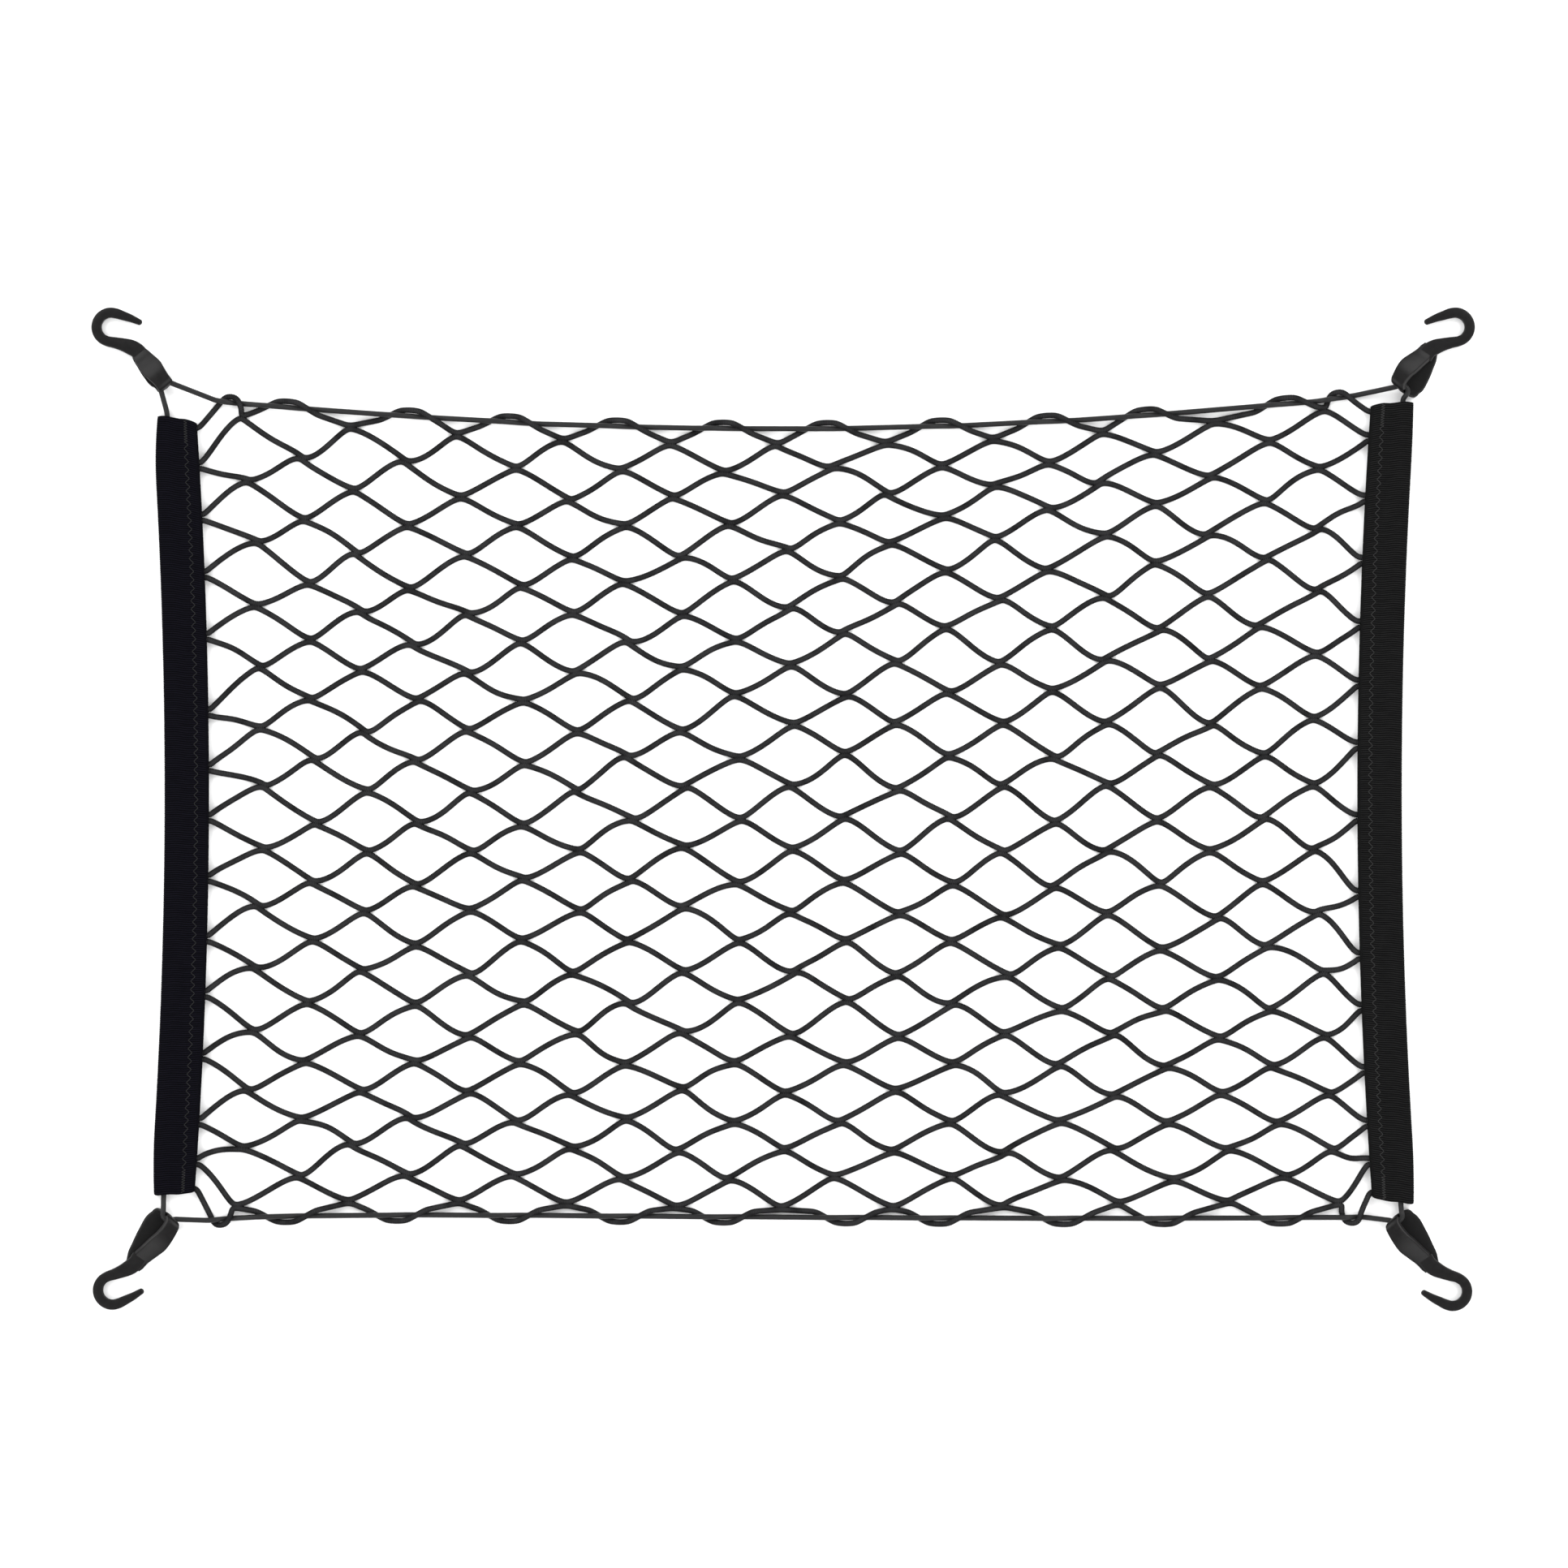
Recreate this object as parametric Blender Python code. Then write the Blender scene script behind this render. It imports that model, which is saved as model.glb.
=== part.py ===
"""An elastic luggage net lying flat: knitted diamond mesh, edge cord, two sleeves and four hooks.

X runs along the net, Y across it and +Z up. The surface it lies on is z = 0, and the origin is
under the middle of the whole object. Sizes are in millimetres and become metres in the meshes.
"""

from collections import namedtuple
from math import atan2, cos, radians, sin

import bmesh
import bpy
import numpy as np
from mathutils import Vector, kdtree

MM = 0.001
GAP = 0.3                       # clearance between pieces that lie against each other

# Net: rows of diamond meshes between the two sleeves.
LAST_COLUMN = 22                # knots stand in columns 1 to 21; the sleeves hold 0 and 22
LAST_ROW = 26                   # half mesh heights from the top knots to the bottom knots
STRAND_WIDTH = 3.2
STRAND_HEIGHT = 3.0
KNOT_HALF_HEIGHT = 2.6          # two strands lie side by side in a knot
KNOT_HALF_WIDTH = 2.3
KNEE_STEP = 1.9                 # how far a strand's inner bend lies from its outer bend
STRAIGHT_RUN = 2.7              # level length in a straight strand, both knots together
SWAY_RUN = 7.5                  # extra level length in the S-shaped strands next to a sleeve
SWAY_START = 0.15               # share of the half length from which strands are S-shaped
LEAST_RUN = 0.5                 # shorter level runs are left out
UNEVENNESS = 1.1                # how far knots stray from even rows, one standard deviation
UNEVENNESS_SEED = 4

# Where the stretched net has settled, at five of its columns of knots.
NET_SECTIONS = (
    # column, x top, x middle, x bottom, y top, y upper, y middle, y lower, y bottom
    (1, -313, -301, -318, 227, 109, -6, -119, -230),
    (6, -158, -150, -157, 215, 104, -7, -121, -228),
    (11, -3, 5, -1, 211, 109, -5, -121, -231),
    (16, 153, 158, 161, 216, 114, -6, -123, -229),
    (21, 314, 308, 323, 231.5, 117, -5, -123, -228),
)

# Heights at which the meshes run into the sleeves, from the top down.
SLEEVE_MESHES = (
    # left, right
    (199, 215),
    (169, 180),
    (136, 144),
    (100, 107),
    (56, 73),
    (24, 37),
    (-5, -5),
    (-40, -49),
    (-75, -85),
    (-107, -115),
    (-143, -151),
    (-181, -182),
    (-204, -204),
)
SLEEVE_HOLD = 5.5               # how far the meshes reach into a sleeve
SLEEVE_ENTRY = 1.0              # they reach its level this far before its open edge
WEBBING = 1.2                   # thickness of the sleeves' webbing
HELD_LIFT = WEBBING + GAP       # the meshes lie on a sleeve's lower layer

# The loops of the net's long edges that the cord is threaded through.
EDGE_LOOPS = (
    # column, x of the top loop, x of the bottom loop
    (2, -287, -288),
    (4, -216, -224),
    (6, -158, -159),
    (8, -96, -95),
    (10, -35, -35),
    (12, 25, 36),
    (14, 91, 90),
    (16, 153, 162),
    (18, 210, 220),
    (20, 291, 288),
)
LOOP_CROSSING = 11.5            # from the middle of a loop to where it crosses the cord
CROSSING_HALF = 5.6             # half the length over which a loop and the cord overlap
LOOP_FOOT = 3.2                 # how far a loop's ends stand inside the cord
LOOP_SHOULDER = 3.2             # how far its bends stand outside the cord
LOOP_REACH = 3.6                # and how far its middle does

# The loops at the net's corners, each between its outermost knot and a sleeve.
CornerLoop = namedtuple("CornerLoop", "from_knot foot foot_inside sleeve_height")
CORNER_LOOPS = {
    # side and edge: knot to loop's middle, middle to the sleeve side's foot, foot inside the cord,
    # height at which it runs into the sleeve
    (-1, 1): CornerLoop(7.6, 9.2, 6.1, 220.5),
    (1, 1): CornerLoop(7.6, 9.3, 3.9, 230.0),
    (-1, -1): CornerLoop(8.6, 5.8, 3.8, -219.5),
    (1, -1): CornerLoop(7.2, 4.8, 4.0, -221.5),
}
# Their points: from the middle towards the sleeve, and outside the cord.
CORNER_NEAR_FOOT = (-7.2, -3.4)
CORNER_NEAR_SHOULDER = (-4.4, 2.9)
CORNER_MIDDLE = (-0.8, 3.6)
CORNER_FAR_SHOULDER = (2.6, 3.1)

# Edge cord: one ring of round elastic.
CORD_DIAMETER = 2.8
CORD_RUNS = (
    # x, y of the top run, y of the bottom run
    (-350, 242.8, -238.3),
    (-325, 237.7, -236.5),
    (-300, 234.5, -235.4),
    (-225, 228.1, -235.0),
    (-140, 223.1, -235.3),
    (-60, 220.7, -235.9),
    (20, 220.2, -236.4),
    (100, 222.0, -236.8),
    (180, 225.8, -237.0),
    (250, 231.2, -236.9),
    (310, 236.8, -236.9),
    (350, 243.8, -237.3),
)
CORD_LOW = CORD_DIAMETER / 2
CORD_HIGH = STRAND_HEIGHT + GAP + CORD_DIAMETER / 2
STRAND_OVER_CORD = CORD_DIAMETER + GAP

# Sleeves: webbing folded in half lengthwise, fold outside, meshes held in its open edge.
SLEEVE_WIDTH = 25.0
SLEEVE_X = 351.7                # centre line at the sleeve's ends
SLEEVE_BOW = 6.2                # how far the net pulls the middle inwards
SLEEVE_BOW_CENTRE = 10.0
SLEEVE_BOW_HALF = 215.0
SLEEVE_STEPS = 11
SLEEVE_ENDS = {
    # side: (top at the fold, top at the open edge, bottom at the fold, bottom at the open edge)
    -1: (227.0, 223.0, -223.5, -221.5),
    1: (232.5, 232.5, -228.5, -224.0),
}
SLEEVE_DRAWN_IN = {
    # side: how far its sewn ends are drawn in at the fold, top and bottom
    -1: (3.0, 1.2),
    1: (1.0, 1.5),
}
DRAWN_IN_OVER = 40.0            # length of each end over which the fold comes out to full width
SLEEVE_SECTION = (
    # distance from the fold, height: outer skin, then inner skin
    (25.0, 6.0),
    (18.0, 6.0),
    (13.5, 5.0),
    (9.5, 5.85),
    (6.0, 5.95),
    (2.6, 5.6),
    (0.6, 4.3),
    (0.0, 2.95),
    (0.6, 1.5),
    (2.6, 0.2),
    (4.0, 0.0),
    (25.0, 0.0),
    (25.0, WEBBING),
    (4.4, WEBBING),
    (2.4, 1.8),
    (1.5, 2.95),
    (2.8, 4.45),
    (6.0, 4.75),
    (9.5, 4.65),
    (13.5, 3.8),
    (18.0, 4.8),
    (25.0, 4.8),
)
CORD_IN_SLEEVE = 2.95           # height of the cord's centre in a sleeve
CORD_INSETS = {
    # side: (distance from the fold to the cord at the top end, and at the bottom end)
    -1: (7.6, 6.0),
    1: (5.6, 6.4),
}
CORD_PAST_SLEEVE = 1.5          # how far the cord runs on level out of a sleeve's end

# Hooks: a tapered J with a strap eye that the cord runs through.
Hook = namedtuple("Hook", "name x y heading bend hand lean length height")
HOOKS = (
    # strap end x and y, its heading, bend to the shank, hand, lean, and the strap's length and height
    Hook("top_left", -356.6, 243.6, 128.7, 35.0, 1, -0.12, 28.0, 12.0),
    Hook("top_right", 357.7, 241.6, 55.9, 40.0, -1, 0.64, 29.0, 12.0),
    Hook("bottom_right", 354.4, -235.1, -55.1, 31.5, 1, -0.64, 35.0, 11.0),
    Hook("bottom_left", -355.2, -234.3, 235.0, 31.0, -1, 0.64, 35.0, 11.0),
)
HOOK_HEIGHT = 5.0
HOOK_CHAMFER = 0.28             # share of the thinner side that each edge loses
SHANK = (
    # along the shank, sideways, width
    (4.0, 0.2, 8.6),
    (9.0, 0.4, 7.4),
    (13.5, 0.5, 6.3),
)
NECK = (4.5, 9.0)               # length in the strap's direction and width
BOWL_CENTRE = (17.9, 8.4)
BOWL_RADIUS = 7.8
BOWL_WIDTH = 5.6
BOWL_STEPS = 9                  # an odd number gives the seat a facet across the shank's direction
ARM = (
    (13.0, 16.1, 5.0),
    (8.0, 15.8, 3.9),
    (3.2, 15.2, 2.8),
    (2.0, 15.0, 1.4),
)
ARM_TAPER = 0.8                 # the arm gets lower as its width to this power
STRAP_THICKNESS = 1.8
STRAP_WIDEST = 12.0
STRAP_AT_SHANK = 9.0
STRAP_AT_END = 10.0
STRAP_IN_SHANK = 5.8
STRAP_PAST_NECK = 2.5           # how far the strap runs on inside the shank
STRAP_TOP_IN_SHANK = 3.5        # height of its upper layer there
STRAP_BELOW = (
    # share of the strap's length and width: the lower layer, from the neck to the eye
    (0.93, STRAP_AT_SHANK),
    (0.75, (STRAP_AT_SHANK + STRAP_WIDEST) / 2),
    (0.5, STRAP_WIDEST),
)
STRAP_ABOVE = (
    # share of the strap's length, share of its full height and width: the upper layer, and back
    (0.36, 0.99, (STRAP_AT_END + STRAP_WIDEST) / 2),
    (0.5, 0.89, STRAP_WIDEST),
    (0.72, 0.62, (STRAP_AT_SHANK + STRAP_WIDEST) / 2),
    (0.88, 0.4, STRAP_AT_SHANK),
)
STRAP_AT_CORD = 2.2             # the bar that the cord is looped round
BAR_ANGLES = (20, 55)           # turn of the eye over which the bar widens to the strap
EYE_RADIUS = 4.2                # of the strap's turn round the cord, seen from the side
EYE_STEPS = 6
EYE_PASS = (
    # the cord's way through an eye, from above: distance from the strap's end, sideways
    (1.5, 3.4),
    (3.05, 2.6),
    (3.75, 1.3),
    (3.75, -1.3),
    (3.05, -2.6),
    (1.5, -3.4),
)

SHARP_EDGE = radians(40)
WELD = 0.01                     # points of the net's outline closer than this are one


def through(stations, values, at):
    """Value at a place on the smooth curve through the values at some stations."""
    return float(np.polyval(np.polyfit(stations, values, len(stations) - 1), at))


def ease(share):
    """Smooth step from 0 to 1."""
    share = min(max(share, 0.0), 1.0)
    return share * share * (3 - 2 * share)


def sleeve_centre(side, y):
    """X of a sleeve's centre line: straight cloth that the net has pulled into a shallow bow."""
    share = (y - SLEEVE_BOW_CENTRE) / SLEEVE_BOW_HALF
    return side * (SLEEVE_X - SLEEVE_BOW * (1 - share * share))


def cord_line(edge, x):
    """Y of the cord along the top (edge 1) or the bottom (edge -1) of the net."""
    stations, top, bottom = zip(*CORD_RUNS)
    return float(np.interp(x, stations, top if edge > 0 else bottom))


def corner_middle(edge, side, knots):
    """X of the middle of a corner loop."""
    column = 1 if side < 0 else LAST_COLUMN - 1
    row = 0 if edge > 0 else LAST_ROW
    return knots[column, row][0] + side * CORNER_LOOPS[side, edge].from_knot


# ---------------------------------------------------------------- net


def net_knots():
    """Centre of every knot, by column and half row; the outer columns lie at the sleeves."""
    stray = np.random.default_rng(UNEVENNESS_SEED)
    stations = [section[0] for section in NET_SECTIONS]
    x_values = [[section[index] for section in NET_SECTIONS] for index in (1, 2, 3)]
    y_values = [[section[index] for section in NET_SECTIONS] for index in (4, 5, 6, 7, 8)]
    knots = {}
    for column in range(1, LAST_COLUMN):
        xs = [through(stations, values, column) for values in x_values]
        ys = [through(stations, values, column) for values in y_values]
        for row in range((column + 1) % 2, LAST_ROW + 1, 2):
            x = through(np.linspace(0, LAST_ROW, 3), xs, row)
            y = through(np.linspace(0, LAST_ROW, 5), ys, row)
            if 0 < row < LAST_ROW:
                x += float(np.clip(stray.normal(), -2, 2)) * UNEVENNESS
                y += float(np.clip(stray.normal(), -2, 2)) * UNEVENNESS
            knots[column, row] = (x, y)
    for index, heights in enumerate(SLEEVE_MESHES):
        for side, column, y in ((-1, 0, heights[0]), (1, LAST_COLUMN, heights[1])):
            x = sleeve_centre(side, y) - side * (SLEEVE_WIDTH / 2 + SLEEVE_ENTRY)
            knots[column, 2 * index + 1] = (x, y)
    return knots


def level_runs(column):
    """Level runs of the rising and the falling strands between a column and the next.

    Left of the middle the rising strands are S-shaped, and right of it the falling ones.
    """
    lean = (2 * column + 1) / LAST_COLUMN - 1
    rising = STRAIGHT_RUN + SWAY_RUN * max(-lean - SWAY_START, 0)
    falling = STRAIGHT_RUN + SWAY_RUN * max(lean - SWAY_START, 0)
    return rising, falling


def outer_bend(run):
    """Distance from a knot's centre to the bend on the long side of a strand."""
    return (run + KNEE_STEP) / 2


def inner_bend(run):
    """Distance from a knot's centre to the bend on the short side of a strand."""
    return (run - KNEE_STEP) / 2


def tip(knot, side, arriving_run, leaving_run, lift=0.0):
    """Where the two strands on one side of a knot part, in the outline's order."""
    x, y = knot
    points = [(x + side * KNOT_HALF_WIDTH, y, lift)]
    if outer_bend(arriving_run) > KNOT_HALF_WIDTH + LEAST_RUN:
        points.insert(0, (x + side * outer_bend(arriving_run), y, lift))
    if outer_bend(leaving_run) > KNOT_HALF_WIDTH + LEAST_RUN:
        points.append((x + side * outer_bend(leaving_run), y, lift))
    return points


def crotch(knot, above, left_run, right_run):
    """Left to right, the short level stretch over (above 1) or under (above -1) a knot."""
    x, y = knot
    height = y + above * KNOT_HALF_HEIGHT
    return [(x - inner_bend(left_run), height, 0.0), (x + inner_bend(right_run), height, 0.0)]


def strand_side(line, distance):
    """One side of a strand: its centre line moved to its left by a distance, lifts kept."""
    points = np.array(line)
    along = np.gradient(points[:, :2], axis=0)
    along /= np.linalg.norm(along, axis=1)[:, None]
    points[:, 0] -= distance * along[:, 1]
    points[:, 1] += distance * along[:, 0]
    return [tuple(point) for point in points]


def edge_loop(edge, middle):
    """Centre line of an edge loop, left to right, as x, y and lift.

    It goes under the cord on its left, stands outside it and comes back over it on its right.
    """
    near = LOOP_CROSSING - CROSSING_HALF
    far = LOOP_CROSSING + CROSSING_HALF
    stations = (
        (-far, -LOOP_FOOT, 0.0),
        (-near, LOOP_SHOULDER, 0.0),
        (0.0, LOOP_REACH, 0.5),
        (near, LOOP_SHOULDER, 1.0),
        (far, -LOOP_FOOT, 1.0),
    )
    return [(middle + x, cord_line(edge, middle + x) + edge * out, share * STRAND_OVER_CORD)
            for x, out, share in stations]


def corner_loop(edge, side, knots):
    """Centre line of a corner loop, from its knot into the sleeve, as x, y and lift."""
    loop = CORNER_LOOPS[side, edge]
    middle = corner_middle(edge, side, knots)
    stations = (CORNER_NEAR_FOOT, CORNER_NEAR_SHOULDER, CORNER_MIDDLE, CORNER_FAR_SHOULDER,
                (loop.foot, -loop.foot_inside))
    shares = (0.0, 0.0, 0.5, 1.0, 1.0) if side > 0 else (1.0, 1.0, 0.5, 0.0, 0.0)
    line = []
    for (towards_sleeve, out), share in zip(stations, shares):
        x = middle + side * towards_sleeve
        line.append((x, cord_line(edge, x) + edge * out, share * STRAND_OVER_CORD))
    inner_edge = sleeve_centre(side, loop.sleeve_height) - side * SLEEVE_WIDTH / 2
    line.append((inner_edge - side * SLEEVE_ENTRY, loop.sleeve_height, HELD_LIFT))
    line.append((inner_edge + side * SLEEVE_HOLD, loop.sleeve_height, HELD_LIFT))
    return line


def overlap(shoulder, foot):
    """Range over which a leg of a corner loop lies over or under the cord."""
    slope = atan2(shoulder[1] - foot[1], abs(foot[0] - shoulder[0]))
    half = (STRAND_WIDTH / 2 + CORD_DIAMETER / 2 * cos(slope)) / sin(slope)
    share = shoulder[1] / (shoulder[1] - foot[1])
    crossing = shoulder[0] + share * (foot[0] - shoulder[0])
    return crossing - half, crossing + half


def held_end(entry, side, upper_run, lower_run):
    """From top to bottom, the end of two strands that run into a sleeve side by side."""
    x, y = entry
    end = x + side * (SLEEVE_ENTRY + SLEEVE_HOLD)
    return [
        (x - side * inner_bend(upper_run), y + KNOT_HALF_HEIGHT, HELD_LIFT),
        (end, y + KNOT_HALF_HEIGHT, HELD_LIFT),
        (end, y - KNOT_HALF_HEIGHT, HELD_LIFT),
        (x - side * inner_bend(lower_run), y - KNOT_HALF_HEIGHT, HELD_LIFT),
    ]


def mesh_outline(knots, loops, column, row):
    """Outline of one closed mesh of the net, clockwise from its left tip."""
    rise_left, fall_left = level_runs(column - 1)
    rise_right, fall_right = level_runs(column)
    if row == 0:
        above = strand_side(loops[column, 1], -STRAND_WIDTH / 2)
        rise_left = STRAIGHT_RUN
        fall_right = STRAIGHT_RUN
    else:
        above = crotch(knots[column, row - 1], -1, rise_left, fall_right)
    if row == LAST_ROW:
        below = strand_side(loops[column, -1], STRAND_WIDTH / 2)
        fall_left = STRAIGHT_RUN
        rise_right = STRAIGHT_RUN
    else:
        below = crotch(knots[column, row + 1], 1, fall_left, rise_right)
    left_lift = HELD_LIFT if column == 1 else 0.0
    right_lift = HELD_LIFT if column == LAST_COLUMN - 1 else 0.0
    left = tip(knots[column - 1, row], 1, fall_left, rise_left, left_lift)
    right = tip(knots[column + 1, row], -1, fall_right, rise_right, right_lift)
    return left + above + right + below[::-1]


def long_edge(knots, loops, edge):
    """Outside of the net's top or bottom edge, left to right."""
    row = 0 if edge > 0 else LAST_ROW
    line = []
    for column in range(1, LAST_COLUMN, 2):
        line += crotch(knots[column, row], edge, STRAIGHT_RUN, STRAIGHT_RUN)
        if (column + 1, edge) in loops:
            line += strand_side(loops[column + 1, edge], edge * STRAND_WIDTH / 2)
    return line


def sleeve_edge(knots, side):
    """The net's edge along a sleeve, top to bottom, from outside one corner loop to the other's."""
    half = side * STRAND_WIDTH / 2
    inner, outer = (1, 0) if side < 0 else (LAST_COLUMN - 1, LAST_COLUMN)
    rising, falling = level_runs(min(inner, outer))
    upper, lower = (rising, falling) if side < 0 else (falling, rising)
    top = corner_loop(1, side, knots)
    bottom = corner_loop(-1, side, knots)
    line = strand_side(top, half) + strand_side(top, -half)[::-1]
    line += tip(knots[inner, 0], side, STRAIGHT_RUN, upper)
    for row in range(1, LAST_ROW, 2):
        line += held_end(knots[outer, row], side, upper, lower)
        leaving = STRAIGHT_RUN if row + 1 == LAST_ROW else upper
        line += tip(knots[inner, row + 1], side, lower, leaving)
    line += strand_side(bottom, half) + strand_side(bottom, -half)[::-1]
    return line


def net_outlines():
    """The net in plan: its outer outline and one outline for every closed mesh."""
    knots = net_knots()
    loops = {}
    for column, top, bottom in EDGE_LOOPS:
        loops[column, 1] = edge_loop(1, top)
        loops[column, -1] = edge_loop(-1, bottom)
    right = sleeve_edge(knots, 1)
    left = sleeve_edge(knots, -1)[::-1]
    outlines = [long_edge(knots, loops, 1) + right + long_edge(knots, loops, -1)[::-1] + left]
    for column in range(1, LAST_COLUMN):
        for row in range(column % 2, LAST_ROW + 1, 2):
            outlines.append(mesh_outline(knots, loops, column, row))
    return outlines


def net():
    """The whole net as one sheet of strands, lifted where it crosses the cord or meets a sleeve."""
    outlines = net_outlines()
    flat = bpy.data.curves.new("net_outline", "CURVE")
    flat.dimensions = "2D"
    flat.fill_mode = "BOTH"
    flat.extrude = STRAND_HEIGHT / 2 * MM
    for outline in outlines:
        add_spline(flat, [(x, y, 0.0) for x, y, lift in outline])
    guide = bpy.data.objects.new("net_outline", flat)
    SHAPES.objects.link(guide)
    graph = bpy.context.evaluated_depsgraph_get()
    mesh = bpy.data.meshes.new_from_object(guide.evaluated_get(graph))
    piece = bpy.data.objects.new("net", mesh)
    piece.matrix_world = guide.matrix_world
    PARTS.objects.link(piece)
    bpy.data.objects.remove(guide)

    points = [point for outline in outlines for point in outline]
    tree = kdtree.KDTree(len(points))
    for index, (x, y, lift) in enumerate(points):
        tree.insert((x * MM, y * MM, 0), index)
    tree.balance()
    shape = bmesh.new()
    shape.from_mesh(mesh)
    bmesh.ops.remove_doubles(shape, verts=shape.verts, dist=WELD * MM)
    flats = [face for face in shape.faces if round(abs(face.normal.z)) == 1]
    both_flat = set(flats).issuperset
    inner_edges = [edge for edge in shape.edges if both_flat(edge.link_faces)]
    bmesh.ops.beautify_fill(shape, faces=flats, edges=inner_edges)
    for vertex in shape.verts:
        nearest = tree.find((vertex.co.x, vertex.co.y, 0))[1]
        vertex.co.z += (STRAND_HEIGHT / 2 + points[nearest][2]) * MM
    shape.to_mesh(mesh)
    shape.free()
    finish(piece, "elastic_mesh", (0.018, 0.018, 0.020), 0.75)


# ---------------------------------------------------------------- edge cord


def eye_pass(hook):
    """The cord's points through a hook's eye, clockwise round the net."""
    heading = radians(hook.heading)
    points = []
    for ahead, aside in EYE_PASS:
        x = hook.x + ahead * cos(heading) - aside * sin(heading)
        y = hook.y + ahead * sin(heading) + aside * cos(heading)
        points.append((x, y, hook.height / 2))
    return points


def cord_run(edge, knots):
    """The cord's points along a long edge, left to right: over a loop's left, under its right."""
    crossings = []
    for side in (-1, 1):
        loop = CORNER_LOOPS[side, edge]
        middle = corner_middle(edge, side, knots)
        near = overlap(CORNER_NEAR_SHOULDER, CORNER_NEAR_FOOT)
        far = overlap(CORNER_FAR_SHOULDER, (loop.foot, -loop.foot_inside))
        crossings.append(sorted(middle + side * place for place in near + far))
    for column, top, bottom in EDGE_LOOPS:
        middle = top if edge > 0 else bottom
        near = LOOP_CROSSING - CROSSING_HALF
        far = LOOP_CROSSING + CROSSING_HALF
        crossings.append([middle - far, middle - near, middle + near, middle + far])
    points = []
    for crossing in sorted(crossings):
        for x, z in zip(crossing, (CORD_HIGH, CORD_HIGH, CORD_LOW, CORD_LOW)):
            points.append((x, cord_line(edge, x), z))
    return points


def cord_in_sleeve(side):
    """The cord's points through a sleeve, top to bottom."""
    top, bottom = SLEEVE_ENDS[side][0], SLEEVE_ENDS[side][2]
    inset_top, inset_bottom = CORD_INSETS[side]
    heights = [top + CORD_PAST_SLEEVE]
    heights += [top + share * (bottom - top) for share in sleeve_shares()]
    heights.append(bottom - CORD_PAST_SLEEVE)
    points = []
    for y in heights:
        inset = inset_top + (top - y) / (top - bottom) * (inset_bottom - inset_top)
        points.append((sleeve_centre(side, y) + side * (SLEEVE_WIDTH / 2 - inset), y, CORD_IN_SLEEVE))
    return points


def edge_cord():
    """One closed ring through the four eyes, both sleeves and the loops of the long edges."""
    knots = net_knots()
    top_left, top_right, bottom_right, bottom_left = HOOKS
    route = eye_pass(top_left) + cord_run(1, knots)
    route += eye_pass(top_right) + cord_in_sleeve(1)
    route += eye_pass(bottom_right) + cord_run(-1, knots)[::-1]
    route += eye_pass(bottom_left) + cord_in_sleeve(-1)[::-1]
    ring = bpy.data.curves.new("edge_cord", "CURVE")
    ring.dimensions = "3D"
    ring.twist_mode = "Z_UP"
    ring.bevel_depth = CORD_DIAMETER / 2 * MM
    ring.bevel_resolution = 2
    add_spline(ring, route)
    piece = bpy.data.objects.new("edge_cord", ring)
    PARTS.objects.link(piece)
    give_material(piece, "smooth_elastic", (0.012, 0.012, 0.013), 0.5)


# ---------------------------------------------------------------- sleeves


def sleeve_shares():
    """Places of the sections along a sleeve, closer together towards its ends."""
    return [0.5 - 0.5 * cos(radians(180 * step / SLEEVE_STEPS)) for step in range(SLEEVE_STEPS + 1)]


def drawn_in(side, from_top, from_bottom):
    """How far the fold is drawn in at a place near either end."""
    top, bottom = SLEEVE_DRAWN_IN[side]
    near_top = max(1 - from_top / DRAWN_IN_OVER, 0)
    near_bottom = max(1 - from_bottom / DRAWN_IN_OVER, 0)
    return top * near_top**2 + bottom * near_bottom**2


def sleeve(name, side):
    """Webbing folded in half lengthwise round the cord, with slanting ends."""
    top_fold, top_open, bottom_fold, bottom_open = SLEEVE_ENDS[side]
    sections = []
    for share in sleeve_shares():
        section = []
        for across, height in SLEEVE_SECTION:
            bottom = bottom_fold + (bottom_open - bottom_fold) * across / SLEEVE_WIDTH
            top = top_fold + (top_open - top_fold) * across / SLEEVE_WIDTH
            y = top + share * (bottom - top)
            inset = across + drawn_in(side, top - y, y - bottom) * (1 - across / SLEEVE_WIDTH)
            section.append((sleeve_centre(side, y) + side * (SLEEVE_WIDTH / 2 - inset), y, height))
        sections.append(section)
    piece = loft(name, sections, PARTS)
    finish(piece, name + "_webbing", (0.022, 0.022, 0.024), 0.8)


# ---------------------------------------------------------------- hooks


def strap_line(hook):
    """The strap eye from the side, as distance from its end, height and width.

    It runs from inside the shank along the surface, turns up round the cord and comes back above.
    """
    low = STRAP_THICKNESS / 2
    centre = low + EYE_RADIUS
    high = hook.height - low
    line = [(hook.length + STRAP_PAST_NECK, low, STRAP_IN_SHANK)]
    line += [(share * hook.length, low, width) for share, width in STRAP_BELOW]
    for step in range(EYE_STEPS + 1):
        angle = 90 * (1 - step / EYE_STEPS)
        line.append((centre - EYE_RADIUS * cos(radians(angle)),
                     centre - EYE_RADIUS * sin(radians(angle)), eye_width(angle)))
    for step in range(EYE_STEPS + 1):
        angle = 90 * step / EYE_STEPS
        line.append((centre - EYE_RADIUS * cos(radians(angle)),
                     high - EYE_RADIUS * (1 - sin(radians(angle))), eye_width(angle)))
    line += [(share * hook.length, rise * high, width) for share, rise, width in STRAP_ABOVE]
    line.append((hook.length + STRAP_PAST_NECK, STRAP_TOP_IN_SHANK, STRAP_IN_SHANK))
    return line


def eye_width(angle):
    """Width of the strap at a turn of the eye: a narrow bar that widens into the strap."""
    start, end = BAR_ANGLES
    return STRAP_AT_CORD + (STRAP_AT_END - STRAP_AT_CORD) * ease((angle - start) / (end - start))


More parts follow.
